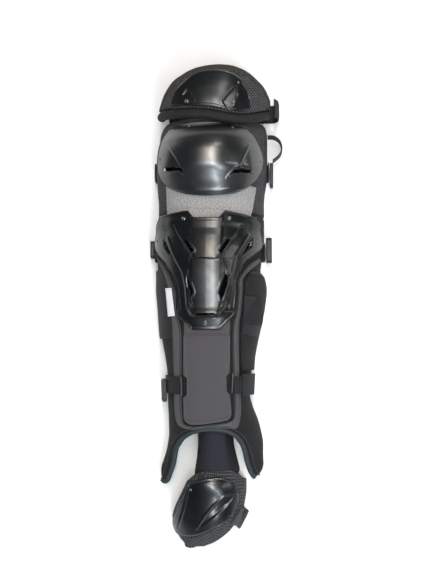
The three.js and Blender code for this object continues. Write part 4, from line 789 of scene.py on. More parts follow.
# Shin shell: rows of plan points with the share of the keel's rise at each
shinShellParts = {
    "rows": [
        [
            (-66, 97, 0), (-56, 97.7, 0), (-46, 99, 0), (-27, 100.3, 0.1), (-19, 89.8, 0.25),
            (-3, 89.8, 0.25), (13, 89.8, 0.25), (21, 99.7, 0.1), (36, 97.7, 0), (48, 95.7, 0),
            (61, 93.1, 0),
        ],
        [
            (-71.5, 85.8, 0), (-58, 83.8, 0), (-49, 81.8, 0.2), (-33, 81.8, 0.3), (-20, 81.2, 0.4),
            (-3, 81.2, 0.45), (14, 81.2, 0.4), (27, 81.2, 0.3), (43, 79.9, 0.2), (52, 79.9, 0),
            (66, 83.2, 0),
        ],
        [
            (-76, 71.3, 0), (-56, 66, 0.15), (-42, 67.3, 0.45), (-34, 66, 0.6), (-20, 66, 0.7),
            (-3, 66, 0.75), (14, 66, 0.7), (29, 66, 0.6), (36, 67.3, 0.45), (52, 68, 0.15),
            (69.5, 69.3, 0),
        ],
        [
            (-78, 60.1, 0), (-50, 50.2, 0.3), (-31, 52.1, 0.6), (-26, 52.1, 0.75), (-19, 52.1, 0.85),
            (-3, 52.1, 0.9), (13, 52.1, 0.85), (21, 52.1, 0.75), (26, 54.1, 0.6), (45, 52.8, 0.3),
            (70, 56.8, 0),
        ],
        [
            (-72, 46.9, 0), (-45, 38.9, 0.35), (-25, 40.9, 0.6), (-22.5, 40.3, 0.8), (-19, 38.9, 0.95),
            (-3, 38.3, 1), (14, 38.3, 0.95), (18, 40.3, 0.8), (20.5, 40.9, 0.6), (38, 40.9, 0.35),
            (62, 46.2, 0),
        ],
        [
            (-65, 38.3, 0), (-42, 34.3, 0.35), (-24, 36.3, 0.6), (-21.5, 36.3, 0.85), (-19, 36.3, 1),
            (-3, 35.6, 1), (14, 35, 1), (16.5, 36.3, 0.85), (19, 37, 0.6), (35.5, 36.3, 0.35),
            (54.5, 38.9, 0),
        ],
        [
            (-62, 34.3, 0), (-40.5, 31.7, 0.4), (-24.5, 33.7, 0.7), (-22, 33.7, 0.9), (-19.5, 33.7, 0.95),
            (-3, 33.7, 1), (14, 33, 0.95), (17, 33.7, 0.9), (19.5, 34.3, 0.7), (34.5, 33.7, 0.4),
            (51, 35, 0),
        ],
        [
            (-53, 19.8, 0), (-34, 19.1, 0.35), (-28, 17.8, 0.65), (-24, 17.8, 0.85), (-20, 17.8, 1),
            (-3, 17.8, 1.05), (14.5, 17.8, 1), (18.5, 17.8, 0.85), (24, 17.8, 0.65), (30.5, 17.2, 0.35),
            (43, 23.1, 0),
        ],
        [
            (-46, 5.9, 0), (-31.5, 5.9, 0.35), (-27, 5.3, 0.65), (-23.5, 5.3, 0.85), (-20, 5.3, 1),
            (-3, 5.3, 1.05), (14, 5.3, 1), (18, 5.3, 0.85), (22.5, 5.3, 0.65), (28, 5.3, 0.35),
            (36.5, 7.9, 0),
        ],
        [
            (-42, -7.9, 0), (-29.5, -7.9, 0.35), (-25.5, -7.9, 0.65), (-22.5, -7.9, 0.9),
            (-19, -7.9, 1.05), (-3, -7.9, 1.1), (13.5, -7.9, 1.05), (17, -7.9, 0.9), (21, -7.9, 0.65),
            (25.5, -7.9, 0.35), (36, -7.3, 0),
        ],
        [
            (-41.3, -29.7, 0), (-27, -27.7, 0.35), (-23.5, -27.1, 0.7), (-21, -27.1, 0.95),
            (-17.5, -27.1, 1.15), (-3, -27.1, 1.2), (12, -27.1, 1.15), (15.5, -27.1, 0.95),
            (18.5, -27.1, 0.7), (22.5, -27.1, 0.35), (33.5, -31, 0),
        ],
        [
            (-40.5, -37, 0), (-24.5, -36.3, 0.3), (-21, -35.6, 0.65), (-19, -35.6, 0.9),
            (-15.5, -36.3, 1.15), (-3, -36.3, 1.2), (7.5, -36.3, 1.15), (11, -35.6, 0.9),
            (14.5, -35, 0.65), (19.5, -35, 0.3), (32.5, -36.3, 0),
        ],
        [
            (-37, -42.2, 0), (-23, -40.9, 0.2), (-20, -40.3, 0.25), (-17.5, -40.3, 0.25),
            (-14.5, -40.9, 0.25), (-3, -40.9, 0.25), (7, -40.9, 0.25), (10, -40.3, 0.25),
            (13, -40.3, 0.25), (18, -40.3, 0.2), (30, -38.9, 0),
        ],
        [
            (-33.5, -45.5, 0), (-29, -49.5, 0), (-25, -53.5, 0), (-21.5, -56.8, 0), (-14, -56.8, 0),
            (-3, -56.8, 0), (7, -56.8, 0), (14, -56.8, 0), (20, -50.8, 0), (24, -46.2, 0), (28, -41.6, 0),
        ],
    ],
    "upperRows": 6, "upperRise": 8.5, "lowerRise": 7.0,
    "spacing": 0.85, "columns": [24, 20, 13, 12, 22, 22, 12, 13, 20, 24],
    "slots": [
        [(-33, 61), (-28.5, 61), (-19, 45.5), (-22.5, 43.5)],
        [(29, 61.5), (24, 61), (14.5, 45.5), (17.5, 41.5)],
        [(-62, 64), (-58.5, 60), (-50.5, 43), (-53.5, 44), (-60, 54)],
        [(57, 66), (55.5, 53), (43, 41.5), (48, 49.5), (52, 57)],
        [(-28.5, 14), (-26, 10), (-19.5, -8), (-22.5, -15), (-27, 5)],
        [(22, 15), (25.5, 12), (25, 2), (17.5, -18.5), (14, -9)],
    ],
    "slotDepth": 3.6, "slotRim": 0.4,
    "tab": [(-15.5, -35.5), (7, -35.5), (9.5, -38.8), (-17.5, -38.8)],
    "tabDepth": 2.2,
    "raisedV": [(-24, 96), (-23, 47), (-19, 37.5), (-15.5, 36), (10, 35), (13.5, 36.5), (17.5, 46), (20, 96)],
    "raisedHeight": 1.3,
    "creases": [
        (-0.9, 2.0, [(-49, 82), (-43, 70), (-31, 52), (-22, 37)]),
        (-0.9, 2.0, [(43, 79), (30, 59), (18, 40)]),
        (1.0, 3.0, [(-56, 66), (-44, 38), (-34, 19), (-30, 0), (-28, -28), (-19, -39)]),
        (1.0, 3.0, [(52, 69), (36, 40), (30, 12), (25, -21), (10, -39)]),
        (-0.8, 1.9, [(-27, 20), (-28, 6), (-24, -14), (-19, -32)]),
        (-0.8, 1.9, [(22, 20), (24, 6), (18, -20), (14, -32)]),
        (0.7, 1.8, [(-39, -1), (-37, -30)]),
        (0.7, 1.8, [(31, 0), (27, -30)]),
    ],
    "lip": 1.2, "slotEdge": 0.1,
    "overKneePanel": (73.9, 85.8), "overLowerPanel": (25.7, 7.9),
}


# Plan points and rise of the shin shell, close together, with extra rows at its four edges
def shinGrid():
    parts = shinShellParts
    table = np.array(parts["rows"], float)
    table[: parts["upperRows"], :, 2] *= parts["upperRise"]
    table[parts["upperRows"] :, :, 2] *= parts["lowerRise"]
    ends = np.concatenate([2 * table[:1] - table[1:2], table, 2 * table[-1:] - table[-2:-1]])
    fine = []
    for i in range(len(table) - 1):
        a, b, c, d = ends[i : i + 4]
        count = max(4, int(abs(table[i + 1, 5, 1] - table[i, 5, 1]) / parts["spacing"]))
        for s in np.linspace(0, 1, count, endpoint=False):
            row = b + (c - b) * s
            if 1 < i < 12:
                row = np.concatenate([smoothStep(a, b, c, d, s)[:, :2], row[:, 2:]], 1)
            fine.append(row)
    fine = np.array(fine + [table[-1]])
    columns = []
    for c, count in enumerate(parts["columns"]):
        for s in np.linspace(0, 1, count, endpoint=False):
            columns.append(fine[:, c] + (fine[:, c + 1] - fine[:, c]) * s)
    dense = np.stack(columns + [fine[:, -1]], 1)
    shares = np.array([0.0, 0.25, 0.5, 0.75])
    left = [dense[:, :1] * (1 - s) + dense[:, 1:2] * s for s in shares]
    right = [dense[:, -1:] * (1 - s) + dense[:, -2:-1] * s for s in shares[::-1]]
    dense = np.concatenate(left + [dense[:, 1:-1]] + right, 1)
    top = [dense[:1] * (1 - s) + dense[1:2] * s for s in shares]
    bottom = [dense[-1:] * (1 - s) + dense[-2:-1] * s for s in shares[::-1]]
    dense = np.concatenate(top + [dense[1:-1]] + bottom)
    rise = dense[..., 2]
    for _ in range(3):  # rounds of smoothing
        wide = np.pad(rise, 1, mode="edge")
        rise = (wide[:-2, 1:-1] + 2 * wide[1:-1, 1:-1] + wide[2:, 1:-1]) / 4
        wide = np.pad(rise, 1, mode="edge")
        rise = (wide[1:-1, :-2] + 2 * wide[1:-1, 1:-1] + wide[1:-1, 2:]) / 4
    return dense[..., 0], dense[..., 1], rise


def shinRelief(x, y, reach):
    parts = shinShellParts
    step = parts["raisedHeight"] * ramp(inside(x, y, parts["raisedV"]), -0.7, 1.5)
    slots = np.max([inside(x, y, slot) for slot in parts["slots"]], axis=0)
    slotRim = parts["slotRim"] * bump(np.abs(slots + 1.8), 1.7)
    tab = ramp(inside(x, y, parts["tab"]), -0.1, 0.8)
    sunk = -parts["slotDepth"] * ramp(slots, -0.3, 0.8) - parts["tabDepth"] * tab
    edgeBead = 0.55 * bump(np.abs(reach - 2.0), 1.2) - 0.35 * bump(np.abs(reach - 4.2), 1.0)
    return step + creases(x, y, parts["creases"]) + slotRim + sunk + edgeBead


planX, planY, rise = shinGrid()
turn, along = locate(legForm, planX, planY, layerGap + shellThickness)
lowStart, lowLength = shinShellParts["overLowerPanel"]
over = np.maximum(ramp(along, *shinShellParts["overKneePanel"]), ramp(-lowStart - along, 0, lowLength))
under = shellSeat + (overPanel - shellSeat) * over
top = under + shellThickness + rise
flat = lifted(legForm, turn, along, top)
reach = edgeReach(flat)
lip = shinShellParts["lip"]
relief = shinRelief(flat[..., 0], flat[..., 1], reach) - rounded(reach, lip) * lip
outer = lifted(legForm, turn, along, top + relief)
inner = lifted(legForm, turn, along, np.minimum(under + rise * 0.9, top + relief - shellWall["least"]))
shinShell = makePiece("shinShell", outer, inner, gloss, "shin_shell")
# Slots and tab of the shin shell take the painted shade of the openings
openings = shinShellParts["slots"] + [shinShellParts["tab"]]
depth = np.max([inside(flat[..., 0], flat[..., 1], slot) for slot in openings], axis=0)
twoCloths(shinShell, depth > shinShellParts["slotEdge"], slotBlack)

# Toe shell: a leaf face turned to the right, a crease on the left and a sewn rim
toeShellParts = {
    "bottom": [(-50, -333.3), (-42, -337.3), (-30, -337.9), (-13, -333.3), (5, -322.7), (22, -310.2)],
    "top": [(-29, -258.7), (-16, -254.1), (-2, -251.5), (12, -250.8), (24, -254.1), (33, -260.7)],
    "left": [(-50, -333.3), (-55, -324.7), (-54, -312.2), (-49, -298.3), (-41, -279.2), (-29, -258.7)],
    "right": [(22, -310.2), (34, -297), (40, -283.8), (39, -271.3), (33, -260.7)],
    "counts": (120, 120),
    "leaf": [(36, -274), (19, -276), (6, -287), (-6, -302), (-19, -322), (-3, -312), (14, -298), (28, -285)],
    "leafDepth": 2.0,
    "creases": [
        (1.0, 2.0, [(36, -273), (19, -275.5), (5, -287), (-7, -302), (-19, -322)]),
        (-0.9, 1.8, [(-30, -271), (-32, -283), (-41, -310), (-46, -324)]),
        (0.6, 1.6, [(-32.5, -270), (-35, -283), (-44, -310), (-48, -322)]),
    ],
    "hemDepth": 0.7, "beadHeight": 0.5,
}


def toeRelief(x, y, reach):
    parts = toeShellParts
    sink = -parts["leafDepth"] * ramp(inside(x, y, parts["leaf"]), 0, 3.0) * np.clip((x + 24) / 40, 0.25, 1)
    bead = parts["beadHeight"] * bump(np.abs(reach - 1.4), 1.0)
    hem = -parts["hemDepth"] * (1 - ramp(reach, 4.4, 5.6)) + bead
    return sink + creases(x, y, parts["creases"]) + hem


toeShell = shellPiece("toeShell", toeForm, toeShellParts, toeRelief, gloss, "toe_shell")
print("shells done")


# Slow swell and dips of a cloth over foam, from a few drawn waves
def loose(points, size, seed):
    a, b = points[..., 0] + 13 * seed, points[..., 1] + 7 * seed
    wave = np.sin(a / 19 + 1.3 * np.sin(b / 31)) * np.sin(b / 23 + 1.1 * np.sin(a / 17))
    return size * (wave + 0.5 * np.sin(a / 7 + b / 11) * np.sin(b / 9))


# Outer and inner side of a padded wall, rounded at every edge that isn't left open
def padGrid(form, turn, along, parts, extra=None):
    base, thickness, radius = parts["base"], parts["thickness"], parts["radius"]
    flat = lifted(form, turn, along, np.full(turn.shape, base + thickness))
    reach = edgeReach(flat, parts.get("openEnds", ()))
    height = -parts["drop"] * rounded(reach, radius) + loose(flat, parts["swell"], parts["seed"])
    if extra is not None:
        height = height + extra(reach)
    outer = lifted(form, turn, along, base + thickness + height)
    under = base + 0.22 * thickness * rounded(reach, radius * 0.7)
    return outer, lifted(form, turn, along, under), reach


# A padded piece that fills the space inside its four plan edges
def simplePad(name, form, parts, material, nodeName):
    us, vs = [steps(count, 4, 0.012) for count in parts["counts"]]
    turn, along = filled(form, parts, us, vs, parts["base"] + parts["thickness"])
    outer, inner, _ = padGrid(form, turn, along, parts)
    return makePiece(name, outer, inner, material, nodeName), outer


# Cloth simulation: the sewn cover filled from inside, its movement capped at each piece's own limit
coverCloth = {"pressure": 4.0, "tension": 12, "mass": 0.25, "frames": 20}


def inflate(obj, parts):
    before = [v.co.copy() for v in obj.data.vertices]
    bpy.context.view_layer.objects.active = obj
    remesh = obj.modifiers.new("remesh", "REMESH")
    remesh.mode = "VOXEL"
    remesh.voxel_size = parts["voxel"] / 1000
    graph = bpy.context.evaluated_depsgraph_get()
    cage = bpy.data.objects.new(obj.name + "Cage", bpy.data.meshes.new_from_object(obj.evaluated_get(graph)))
    obj.modifiers.clear()
    bpy.context.scene.collection.objects.link(cage)
    still = np.array([v.co[:] for v in cage.data.vertices])
    cloth = cage.modifiers.new("cloth", "CLOTH")
    cloth.settings.use_pressure = True
    cloth.settings.uniform_pressure_force = coverCloth["pressure"]
    cloth.settings.effector_weights.gravity = 0
    cloth.settings.tension_stiffness = coverCloth["tension"]
    cloth.settings.mass = coverCloth["mass"]
    cloth.point_cache.frame_start = 1
    cloth.point_cache.frame_end = coverCloth["frames"]
    for step in range(1, coverCloth["frames"] + 1):
        bpy.context.scene.frame_set(step)
    moved = cage.evaluated_get(bpy.context.evaluated_depsgraph_get()).data
    after = np.array([v.co[:] for v in moved.vertices])
    bpy.context.scene.frame_set(1)
    travel = after - still
    far = np.linalg.norm(travel, axis=1, keepdims=True)
    travel = travel * np.minimum(1, parts["travel"] / 1000 / np.maximum(far, 1e-9))
    tree = kdtree.KDTree(len(still))
    for i, p in enumerate(still):
        tree.insert(p, i)
    tree.balance()
    for vertex, start in zip(obj.data.vertices, before):
        total, weight = np.zeros(3), 0.0
        for _, i, distance in tree.find_n(start, 6):
            w = 1 / (distance + 0.0008)
            total, weight = total + travel[i] * w, weight + w
        vertex.co = start + Vector(total / weight)
    bpy.data.objects.remove(cage, do_unlink=True)
    obj.data.update()


# Line just below the lower edge of a pad; edge is the run of that edge at its middle
def besideEdge(form, turn, along, depth, clear, edge):
    p = lifted(form, turn, along, np.full(turn.shape, -depth))
    out = unit(np.cross(np.gradient(p, axis=0), skinNormal(form, turn, along)))
    middle = len(p) // 2
    return p - out * clear if (p + out * clear)[middle, 1] > edge else p + out * clear


# Thigh pad: mesh dome with a smooth band along its top edge, held down by a sewn line
thighPadParts = {
    "bottom": [
        (-73, 246.2), (-46, 239.6), (-20, 236.9), (0, 235), (16, 232.3), (34, 230.3), (52, 232.3),
        (68, 238.3), (82, 250.1),
    ],
    "top": [
        (-72, 252.8), (-63, 268.6), (-50, 283.8), (-33, 295), (-13, 302.3), (9, 305.2), (31, 302.9),
        (49, 297), (62, 287.8), (74, 277.2), (82, 266),
    ],
    "left": [(-73, 246.2), (-72, 252.8)],
    "right": [(82, 250.1), (82, 266)],
    "base": -12.0, "thickness": 12.0, "radius": 11.0, "drop": 5.0, "openEnds": ("bottom",),
    "swell": 0.25, "seed": 1, "voxel": 5, "travel": 1.2,
    "band": 13.2, "seamAt": 13.5, "seamDepth": 1.6, "seamWidth": 2.6,
}


def thighSeam(reach):
    parts = thighPadParts
    return -parts["seamDepth"] * bump(np.abs(reach - parts["seamAt"]), parts["seamWidth"])


us, vs = steps(150, 3, 0.006), steps(70, 3, 0.01)
turn, along = filled(thighForm, thighPadParts, us, vs, 0)
outer, inner, reach = padGrid(thighForm, turn, along, thighPadParts, thighSeam)
thighPad = makePiece("thighPad", outer, inner, padMesh, "thigh_pad")
twoCloths(thighPad, reach < thighPadParts["band"], rim)
inflate(thighPad, thighPadParts)

# Thigh roll: a herringbone roll below the pad's lower edge
thighRollParts = {"size": 13.0, "depth": 4.0, "clear": 7.4}
parts = thighRollParts
edge = lifted(thighForm, turn[:1], along[:1], np.zeros((1, turn.shape[1])))[0, turn.shape[1] // 2, 1]
spine = besideEdge(thighForm, turn[0, 3:-3], along[0, 3:-3], parts["depth"], parts["clear"], edge)
thighRoll = swept("thighRoll", [spine], parts["size"], parts["size"], rollWeave, "thigh_roll")

# Knee pad, from one side of the leg to the other
kneePadParts = {
    "start": 101, "length": 130, "base": -11.0, "thickness": 11.0, "radius": 4.0, "drop": 1.6,
    "swell": 0.12, "seed": 2, "voxel": 6, "travel": 0.4,
}
us, vs = steps(150, 3, 0.004), steps(70, 3, 0.01)
turn = np.broadcast_to(us[None], (len(vs), len(us)))
along = np.broadcast_to((kneePadParts["start"] + kneePadParts["length"] * vs)[:, None], turn.shape)
outer, inner, _ = padGrid(legForm, turn, along, kneePadParts)
kneePad = makePiece("kneePad", outer, inner, padMesh, "knee_pad")
inflate(kneePad, kneePadParts)

# Grey panel on the lower part of the knee pad
kneePanelParts = {
    "bottom": [(-55, 85.8), (53, 85.8)],
    "top": [(-59, 135.3), (63, 134)],
    "left": [(-55, 85.8), (-59, 104.3), (-59, 135.3)],
    "right": [(53, 85.8), (57, 100.3), (63, 134)],
    "smooth": (False,) * 4, "counts": (110, 50), "base": layerGap, "thickness": 2.0,
    "radius": 1.6, "drop": 0.9, "swell": 0.12, "seed": 4,
}
simplePad("kneePanel", legForm, kneePanelParts, melange, "knee_panel")

# Shin body, from the knee to the two flares; its lower edge is the arch over the foot
shinBodyParts = {
    "arch": [
        (-71, -240.2), (-71.5, -250.1), (-70.5, -258.1), (-67, -261.4), (-63.5, -256.7), (-57.5, -240.2),
        (-53, -215.8), (-41, -198.7), (-26, -189.4), (-9, -184.8), (10, -184.8), (26, -187.4),
        (39.5, -196), (49, -213.8), (53.5, -236.3), (58.5, -250.1), (63, -254.8), (67, -250.8),
        (69, -240.2),
    ],
    "archSteps": [1, 1, 1, 1, 1, 1, 2, 2, 1, 1, 1, 2, 2, 1, 1, 1, 1, 1],
    "columns": 251, "softRounds": 40, "softFrom": (14, 34),
    "top": 99.7, "thickness": 9.0, "thinner": 2.0, "radius": 4.5, "drop": 1.8, "swell": 0.22, "seed": 5,
    "voxel": 6, "travel": 0.4,
}


# The arch as turn and run on the leg form, smoothed between its two ends
def archLine():
    parts = shinBodyParts
    count = parts["columns"]
    archX, archY = np.array(parts["arch"]).T
    archTurn, archAlong = locate(legForm, archX, archY, 0)
    archTurn[0], archTurn[-1] = 0, 1
    corners = np.stack([archTurn, archAlong], 1)
    places = [corners[0]]
    for start, end, pieces in zip(corners[:-1], corners[1:], parts["archSteps"]):
        places += [start + (end - start) * (k / pieces) for k in range(1, pieces + 1)]
    places = np.array(places)
    fineAt = np.linspace(0, len(places) - 1, count)
    padded = np.vstack([2 * places[0] - places[1], places, 2 * places[-1] - places[-2]])
    at = np.minimum(fineAt.astype(int), len(places) - 2)
    line = smoothStep(padded[at], padded[at + 1], padded[at + 2], padded[at + 3], (fineAt - at)[:, None])
    softer = line.copy()
    for _ in range(parts["softRounds"]):
        softer[1:-1] = (softer[:-2] + 2 * softer[1:-1] + softer[2:]) / 4
    fromEnd = np.minimum(np.arange(count), np.arange(count - 1, -1, -1))
    line += (softer - line) * ramp(fromEnd, *parts["softFrom"])[:, None]
    line[:, 0] = np.clip(line[:, 0], 0, 1)
    return line


archRow = archLine()
even = np.linspace(0, 1, shinBodyParts["columns"])[None]
vs = steps(150, 3, 0.004)[:, None]
turn = even + (archRow[None, :, 0] - even) * vs**1.5
along = shinBodyParts["top"] + (archRow[None, :, 1] - shinBodyParts["top"]) * vs
thin = np.clip((vs - 0.7) / 0.3, 0, 1) * np.ones_like(turn)
flat = lifted(legForm, turn, along, np.zeros(turn.shape))
reach = edgeReach(flat)
height = -shinBodyParts["drop"] * rounded(reach, shinBodyParts["radius"])
height = height + loose(flat, shinBodyParts["swell"], shinBodyParts["seed"])
depth = shinBodyParts["thickness"] - shinBodyParts["thinner"] * thin
outer = lifted(legForm, turn, along, height)
inner = lifted(legForm, turn, along, -depth + 1.6 * rounded(reach, 4.0))
shinBody = makePiece("shinBody", outer, inner, sideMesh, "shin_body")
inflate(shinBody, shinBodyParts)

# Binding round the arch, and a thin cord on the seam above it
bindingParts = {"size": 7.2, "depth": 3.5, "clear": 3.0, "cordFrom": 4.2, "cordWidth": 1.5, "cordHeight": 1.1}
parts = bindingParts
archTurn, archAlong = archRow[26:-26].T
spine = besideEdge(legForm, archTurn, archAlong, parts["depth"], parts["clear"], flat[-1, 125, 1])
swept("archBinding", [spine], parts["size"], parts["size"], bindingCloth, "arch_binding")
edgeWay = unit(flat[-1, 26:-26] - spine)
seamLine = lifted(legForm, archTurn, archAlong, np.zeros(len(archTurn))) + edgeWay * parts["cordFrom"]
swept("archCord", [seamLine[::2]], parts["cordWidth"], parts["cordHeight"], rim, None)

# Knit panel of the lower shin: a flat cushion with rounded lower corners and a notch each side
lowerPanelParts = {
    "bottom": [
        (-34.5, -170.3), (-33, -176.9), (-27, -181.5), (-20, -182.2), (0, -180.2), (20, -176.9),
        (26, -174.9), (29, -170.3), (29.5, -163.7),
    ],
    "top": [(-35, -38.9), (29, -38.3)],
    "left": [
        (-34.5, -170.3), (-35.6, -145.9), (-31, -143.2), (-31, -118.1), (-35.6, -114.8), (-35, -38.9),
    ],
    "right": [(29.5, -163.7), (28, -141.2), (24.2, -137.9), (24, -114.8), (28, -112.2), (29, -38.3)],
    "smooth": (True, False, False, False),
    "thickness": 5.4, "cover": 6.3, "underShell": 2.0, "radius": 4.2, "drop": 2.6,
    "seamAt": 6.0, "seamDepth": 0.9, "swell": 0.12, "seed": 6, "voxel": 4, "travel": 0.7,
    "shellEnd": 60.1, "shellFade": 5.3,
}
parts = lowerPanelParts
us, vs = steps(70, 5, 0.02), steps(150, 5, 0.012)
turn, along = filled(legForm, parts, us, vs, layerGap + parts["thickness"])
flat = lifted(legForm, turn, along, np.full(turn.shape, parts["cover"]))
reach = edgeReach(flat, ("top",))
full = parts["thickness"] - parts["drop"] * rounded(reach, parts["radius"])
full = full - parts["seamDepth"] * bump(np.abs(reach - parts["seamAt"]), 1.3)
share = ramp(-parts["shellEnd"] - along, 0, parts["shellFade"])
rise = layerGap + parts["underShell"] + (full - parts["underShell"]) * share
outer = lifted(legForm, turn, along, rise + loose(flat, parts["swell"], parts["seed"]) * share)
inner = lifted(legForm, turn, along, np.full(turn.shape, layerGap))
lowerPanel = makePiece("lowerPanel", outer, inner, charcoal, "lower_panel")
inflate(lowerPanel, parts)

# Mesh border round the shin shell and the panel, with a piped inner edge and a sewn line
borderParts = {
    "inner": [
        (-73.5, 46.2), (-65.5, 36.3), (-55.5, 19.8), (-49, 4.6), (-45, -7.9), (-44, -34.3), (-40, -46.2),
        (-37.4, -60.1), (-37.4, -120.1), (-36.6, -168.3), (-34, -179.5), (-22.5, -183.5), (-2, -181.5),
        (21.5, -178.2), (29.8, -174.2), (31.8, -166.3), (31, -120.1), (30.5, -60.1), (32.2, -46.2),
        (35.5, -34.3), (38.5, -7.3), (38.8, 7.9), (46, 21.8), (56, 34.3), (64, 41.6),
    ],
    "outer": [
        (-76.5, 49.5), (-72, 40.9), (-62, 21.8), (-56, 4), (-52.5, -9.9), (-50.5, -34.3), (-49.8, -48.2),
        (-49.2, -60.1), (-48, -120.1), (-46.5, -168.3), (-42, -182.2), (-26, -188.1), (-2, -184.8),
        (22, -186.1), (35, -186.1), (40, -170.3), (38.2, -120.1), (38.2, -60.1), (39, -46.2), (41, -34.3),
        (43.3, -7.3), (44, 9.9), (51, 19.8), (60, 29.7), (66, 36.3),
    ],
    "rows": 330, "thickness": 2.4, "pipingRise": 1.9, "pipingSize": 1.9, "stitchRise": 2.2,
}
parts = borderParts
at = np.linspace(0, 1, parts["rows"])
lineA, lineB = resample(parts["inner"], at), resample(parts["outer"], at)
share = np.linspace(0, 1, 15)[None, :, None]
plan = lineA[:, None] * (1 - share) + lineB[:, None] * share
turn, along = locate(legForm, plan[..., 0], plan[..., 1], shellSeat)
curve = 1 - 0.55 * np.abs(2 * share[..., 0] - 1) ** 5
outer = lifted(legForm, turn, along, shellSeat + parts["thickness"] * curve * np.ones(turn.shape))
inner = lifted(legForm, turn, along, np.full(turn.shape, shellSeat))
makePiece("borderWelt", outer, inner, borderWeave, "border_welt")
piping = lifted(legForm, turn[:, 1], along[:, 1], np.full(parts["rows"], shellSeat + parts["pipingRise"]))
swept("weltPiping", [piping], parts["pipingSize"], parts["pipingSize"], rim, None)
sewn = lifted(legForm, turn[:, 12], along[:, 12], np.full(parts["rows"], shellSeat + parts["stitchRise"]))
stitches("borderStitches", [sewn], thread, pitch=2.6, length=1.8, radius=0.3)

# Side wing with its smooth upper band
wingParts = {
    "bottom": [(40.5, -110.2), (56, -110.2)],
    "top": [(54, 21.1), (62, 22.4), (72, 15.2)],
    "left": [(40.5, -110.2), (40.2, -60.1), (43, -34.3), (45.5, -7.9), (46.5, 7.3), (54, 21.1)],
    "right": [(56, -110.2), (64, -69.3), (72, -29.7), (75.5, -7.9), (76, 4), (72, 15.2)],
    "base": shellSeat, "thickness": 3.8, "radius": 3.5, "drop": 2.0, "openEnds": ("bottom",),
    "swell": 0.2, "seed": 7, "band": 7.5, "bandFrom": -12,
}
us, vs = steps(80, 4, 0.012), steps(100, 4, 0.012)
turn, along = filled(legForm, wingParts, us, vs, shellSeat)
outer, inner, _ = padGrid(legForm, turn, along, wingParts)
innerWing = makePiece("innerWing", outer, inner, sideMesh, "inner_wing")
across, run = gridLengths(outer)
rightReach = np.minimum(across[:, -1:] - across, run[-1:] - run)
twoCloths(innerWing, (rightReach < wingParts["band"]) & (outer[..., 1] > wingParts["bandFrom"]), rim)

# Patch on the wing, darker at both ends
patchParts = {
    "bottom": [(43.5, -62), (64, -66)],
    "top": [(47, -11.2), (67, -13.2)],
    "left": [(43.5, -62), (46, -38.3), (47, -11.2)],
    "right": [(64, -66), (71, -38.3), (67, -13.2)],
    "counts": (50, 60), "base": 5.6, "thickness": 1.4, "radius": 1.2, "drop": 0.8, "swell": 0.1, "seed": 3,
    "darkUpper": [(46, -12), (65, -12), (56, -22), (46, -40)],
    "darkLower": [(42, -50), (42, -64), (66, -68), (68, -50)],
}
wingPatch, patchTop = simplePad("wingPatch", legForm, patchParts, patchCloth, "wing_patch")
dark = [inside(patchTop[..., 0], patchTop[..., 1], patchParts[key]) for key in ("darkUpper", "darkLower")]
twoCloths(wingPatch, np.maximum(*dark) > 0, elastic)

# Flap on the other side, with a bare sewn label
flapParts = {
    "bottom": [(-74, -68), (-51, -68)],
    "top": [(-78, 25.7), (-65, 25.1)],
    "left": [(-74, -68), (-77, -17.2), (-78, 25.7)],
    "right": [(-51, -68), (-52.5, -34.3), (-54, -9.9), (-57.5, 4), (-65, 25.1)],
    "smooth": (False, False, True, True), "counts": (60, 70), "base": layerGap, "thickness": 2.4,
    "radius": 1.4, "drop": 0.9, "swell": 0.25, "seed": 8,
}
labelParts = {
    "bottom": [(-56, -38.9), (-46, -38.3)],
    "top": [(-59.5, -1.3), (-50.5, -1.3)],
    "left": [(-56, -38.9), (-59.5, -1.3)],
    "right": [(-46, -38.3), (-50.5, -1.3)],
    "smooth": (False,) * 4, "counts": (24, 60), "base": 4.47, "thickness": 0.6, "radius": 0.5, "drop": 0.3,
    "swell": 0.12, "seed": 9,
}
simplePad("outerFlap", legForm, flapParts, elastic, "outer_flap")
simplePad("sideLabel", legForm, labelParts, labelWhite, "side_label")
print("body done")

# Tongue under the arch, with a mesh strip on its right; its end is tucked under the toe pad
tongueParts = {
    "turns": (0.16, 0.84), "columns": 90, "start": -174.9, "past": 9,
    "end": [-252.12, -248.82, -245.52, -242.88, -241.56, -240.9, -240.24, -240.9, -242.88, -244.86],
    "base": -5.0, "thickness": 5.0, "radius": 2.2, "drop": 1.2, "swell": 0.25, "seed": 10,
    "tuckDepth": 4.2, "tuckFrom": 0.86, "strip": 0.66,
}
parts = tongueParts
places = np.linspace(*parts["turns"], parts["columns"])
ends = np.interp(places, np.linspace(*parts["turns"], 10), parts["end"])
vs = steps(70, 3, 0.01)[:, None]
turn = places[None] * np.ones_like(vs)
along = parts["start"] + (ends[None] - parts["past"] - parts["start"]) * vs


def tuckedUnder(reach):
    return -tongueParts["tuckDepth"] * ramp(vs * np.ones_like(reach), tongueParts["tuckFrom"], 1.0)


outer, inner, _ = padGrid(tongueForm, turn, along, tongueParts, tuckedUnder)
toeTongue = makePiece("toeTongue", outer, inner, navy, "toe_tongue")
twoCloths(toeTongue, turn > tongueParts["strip"], sideMesh)

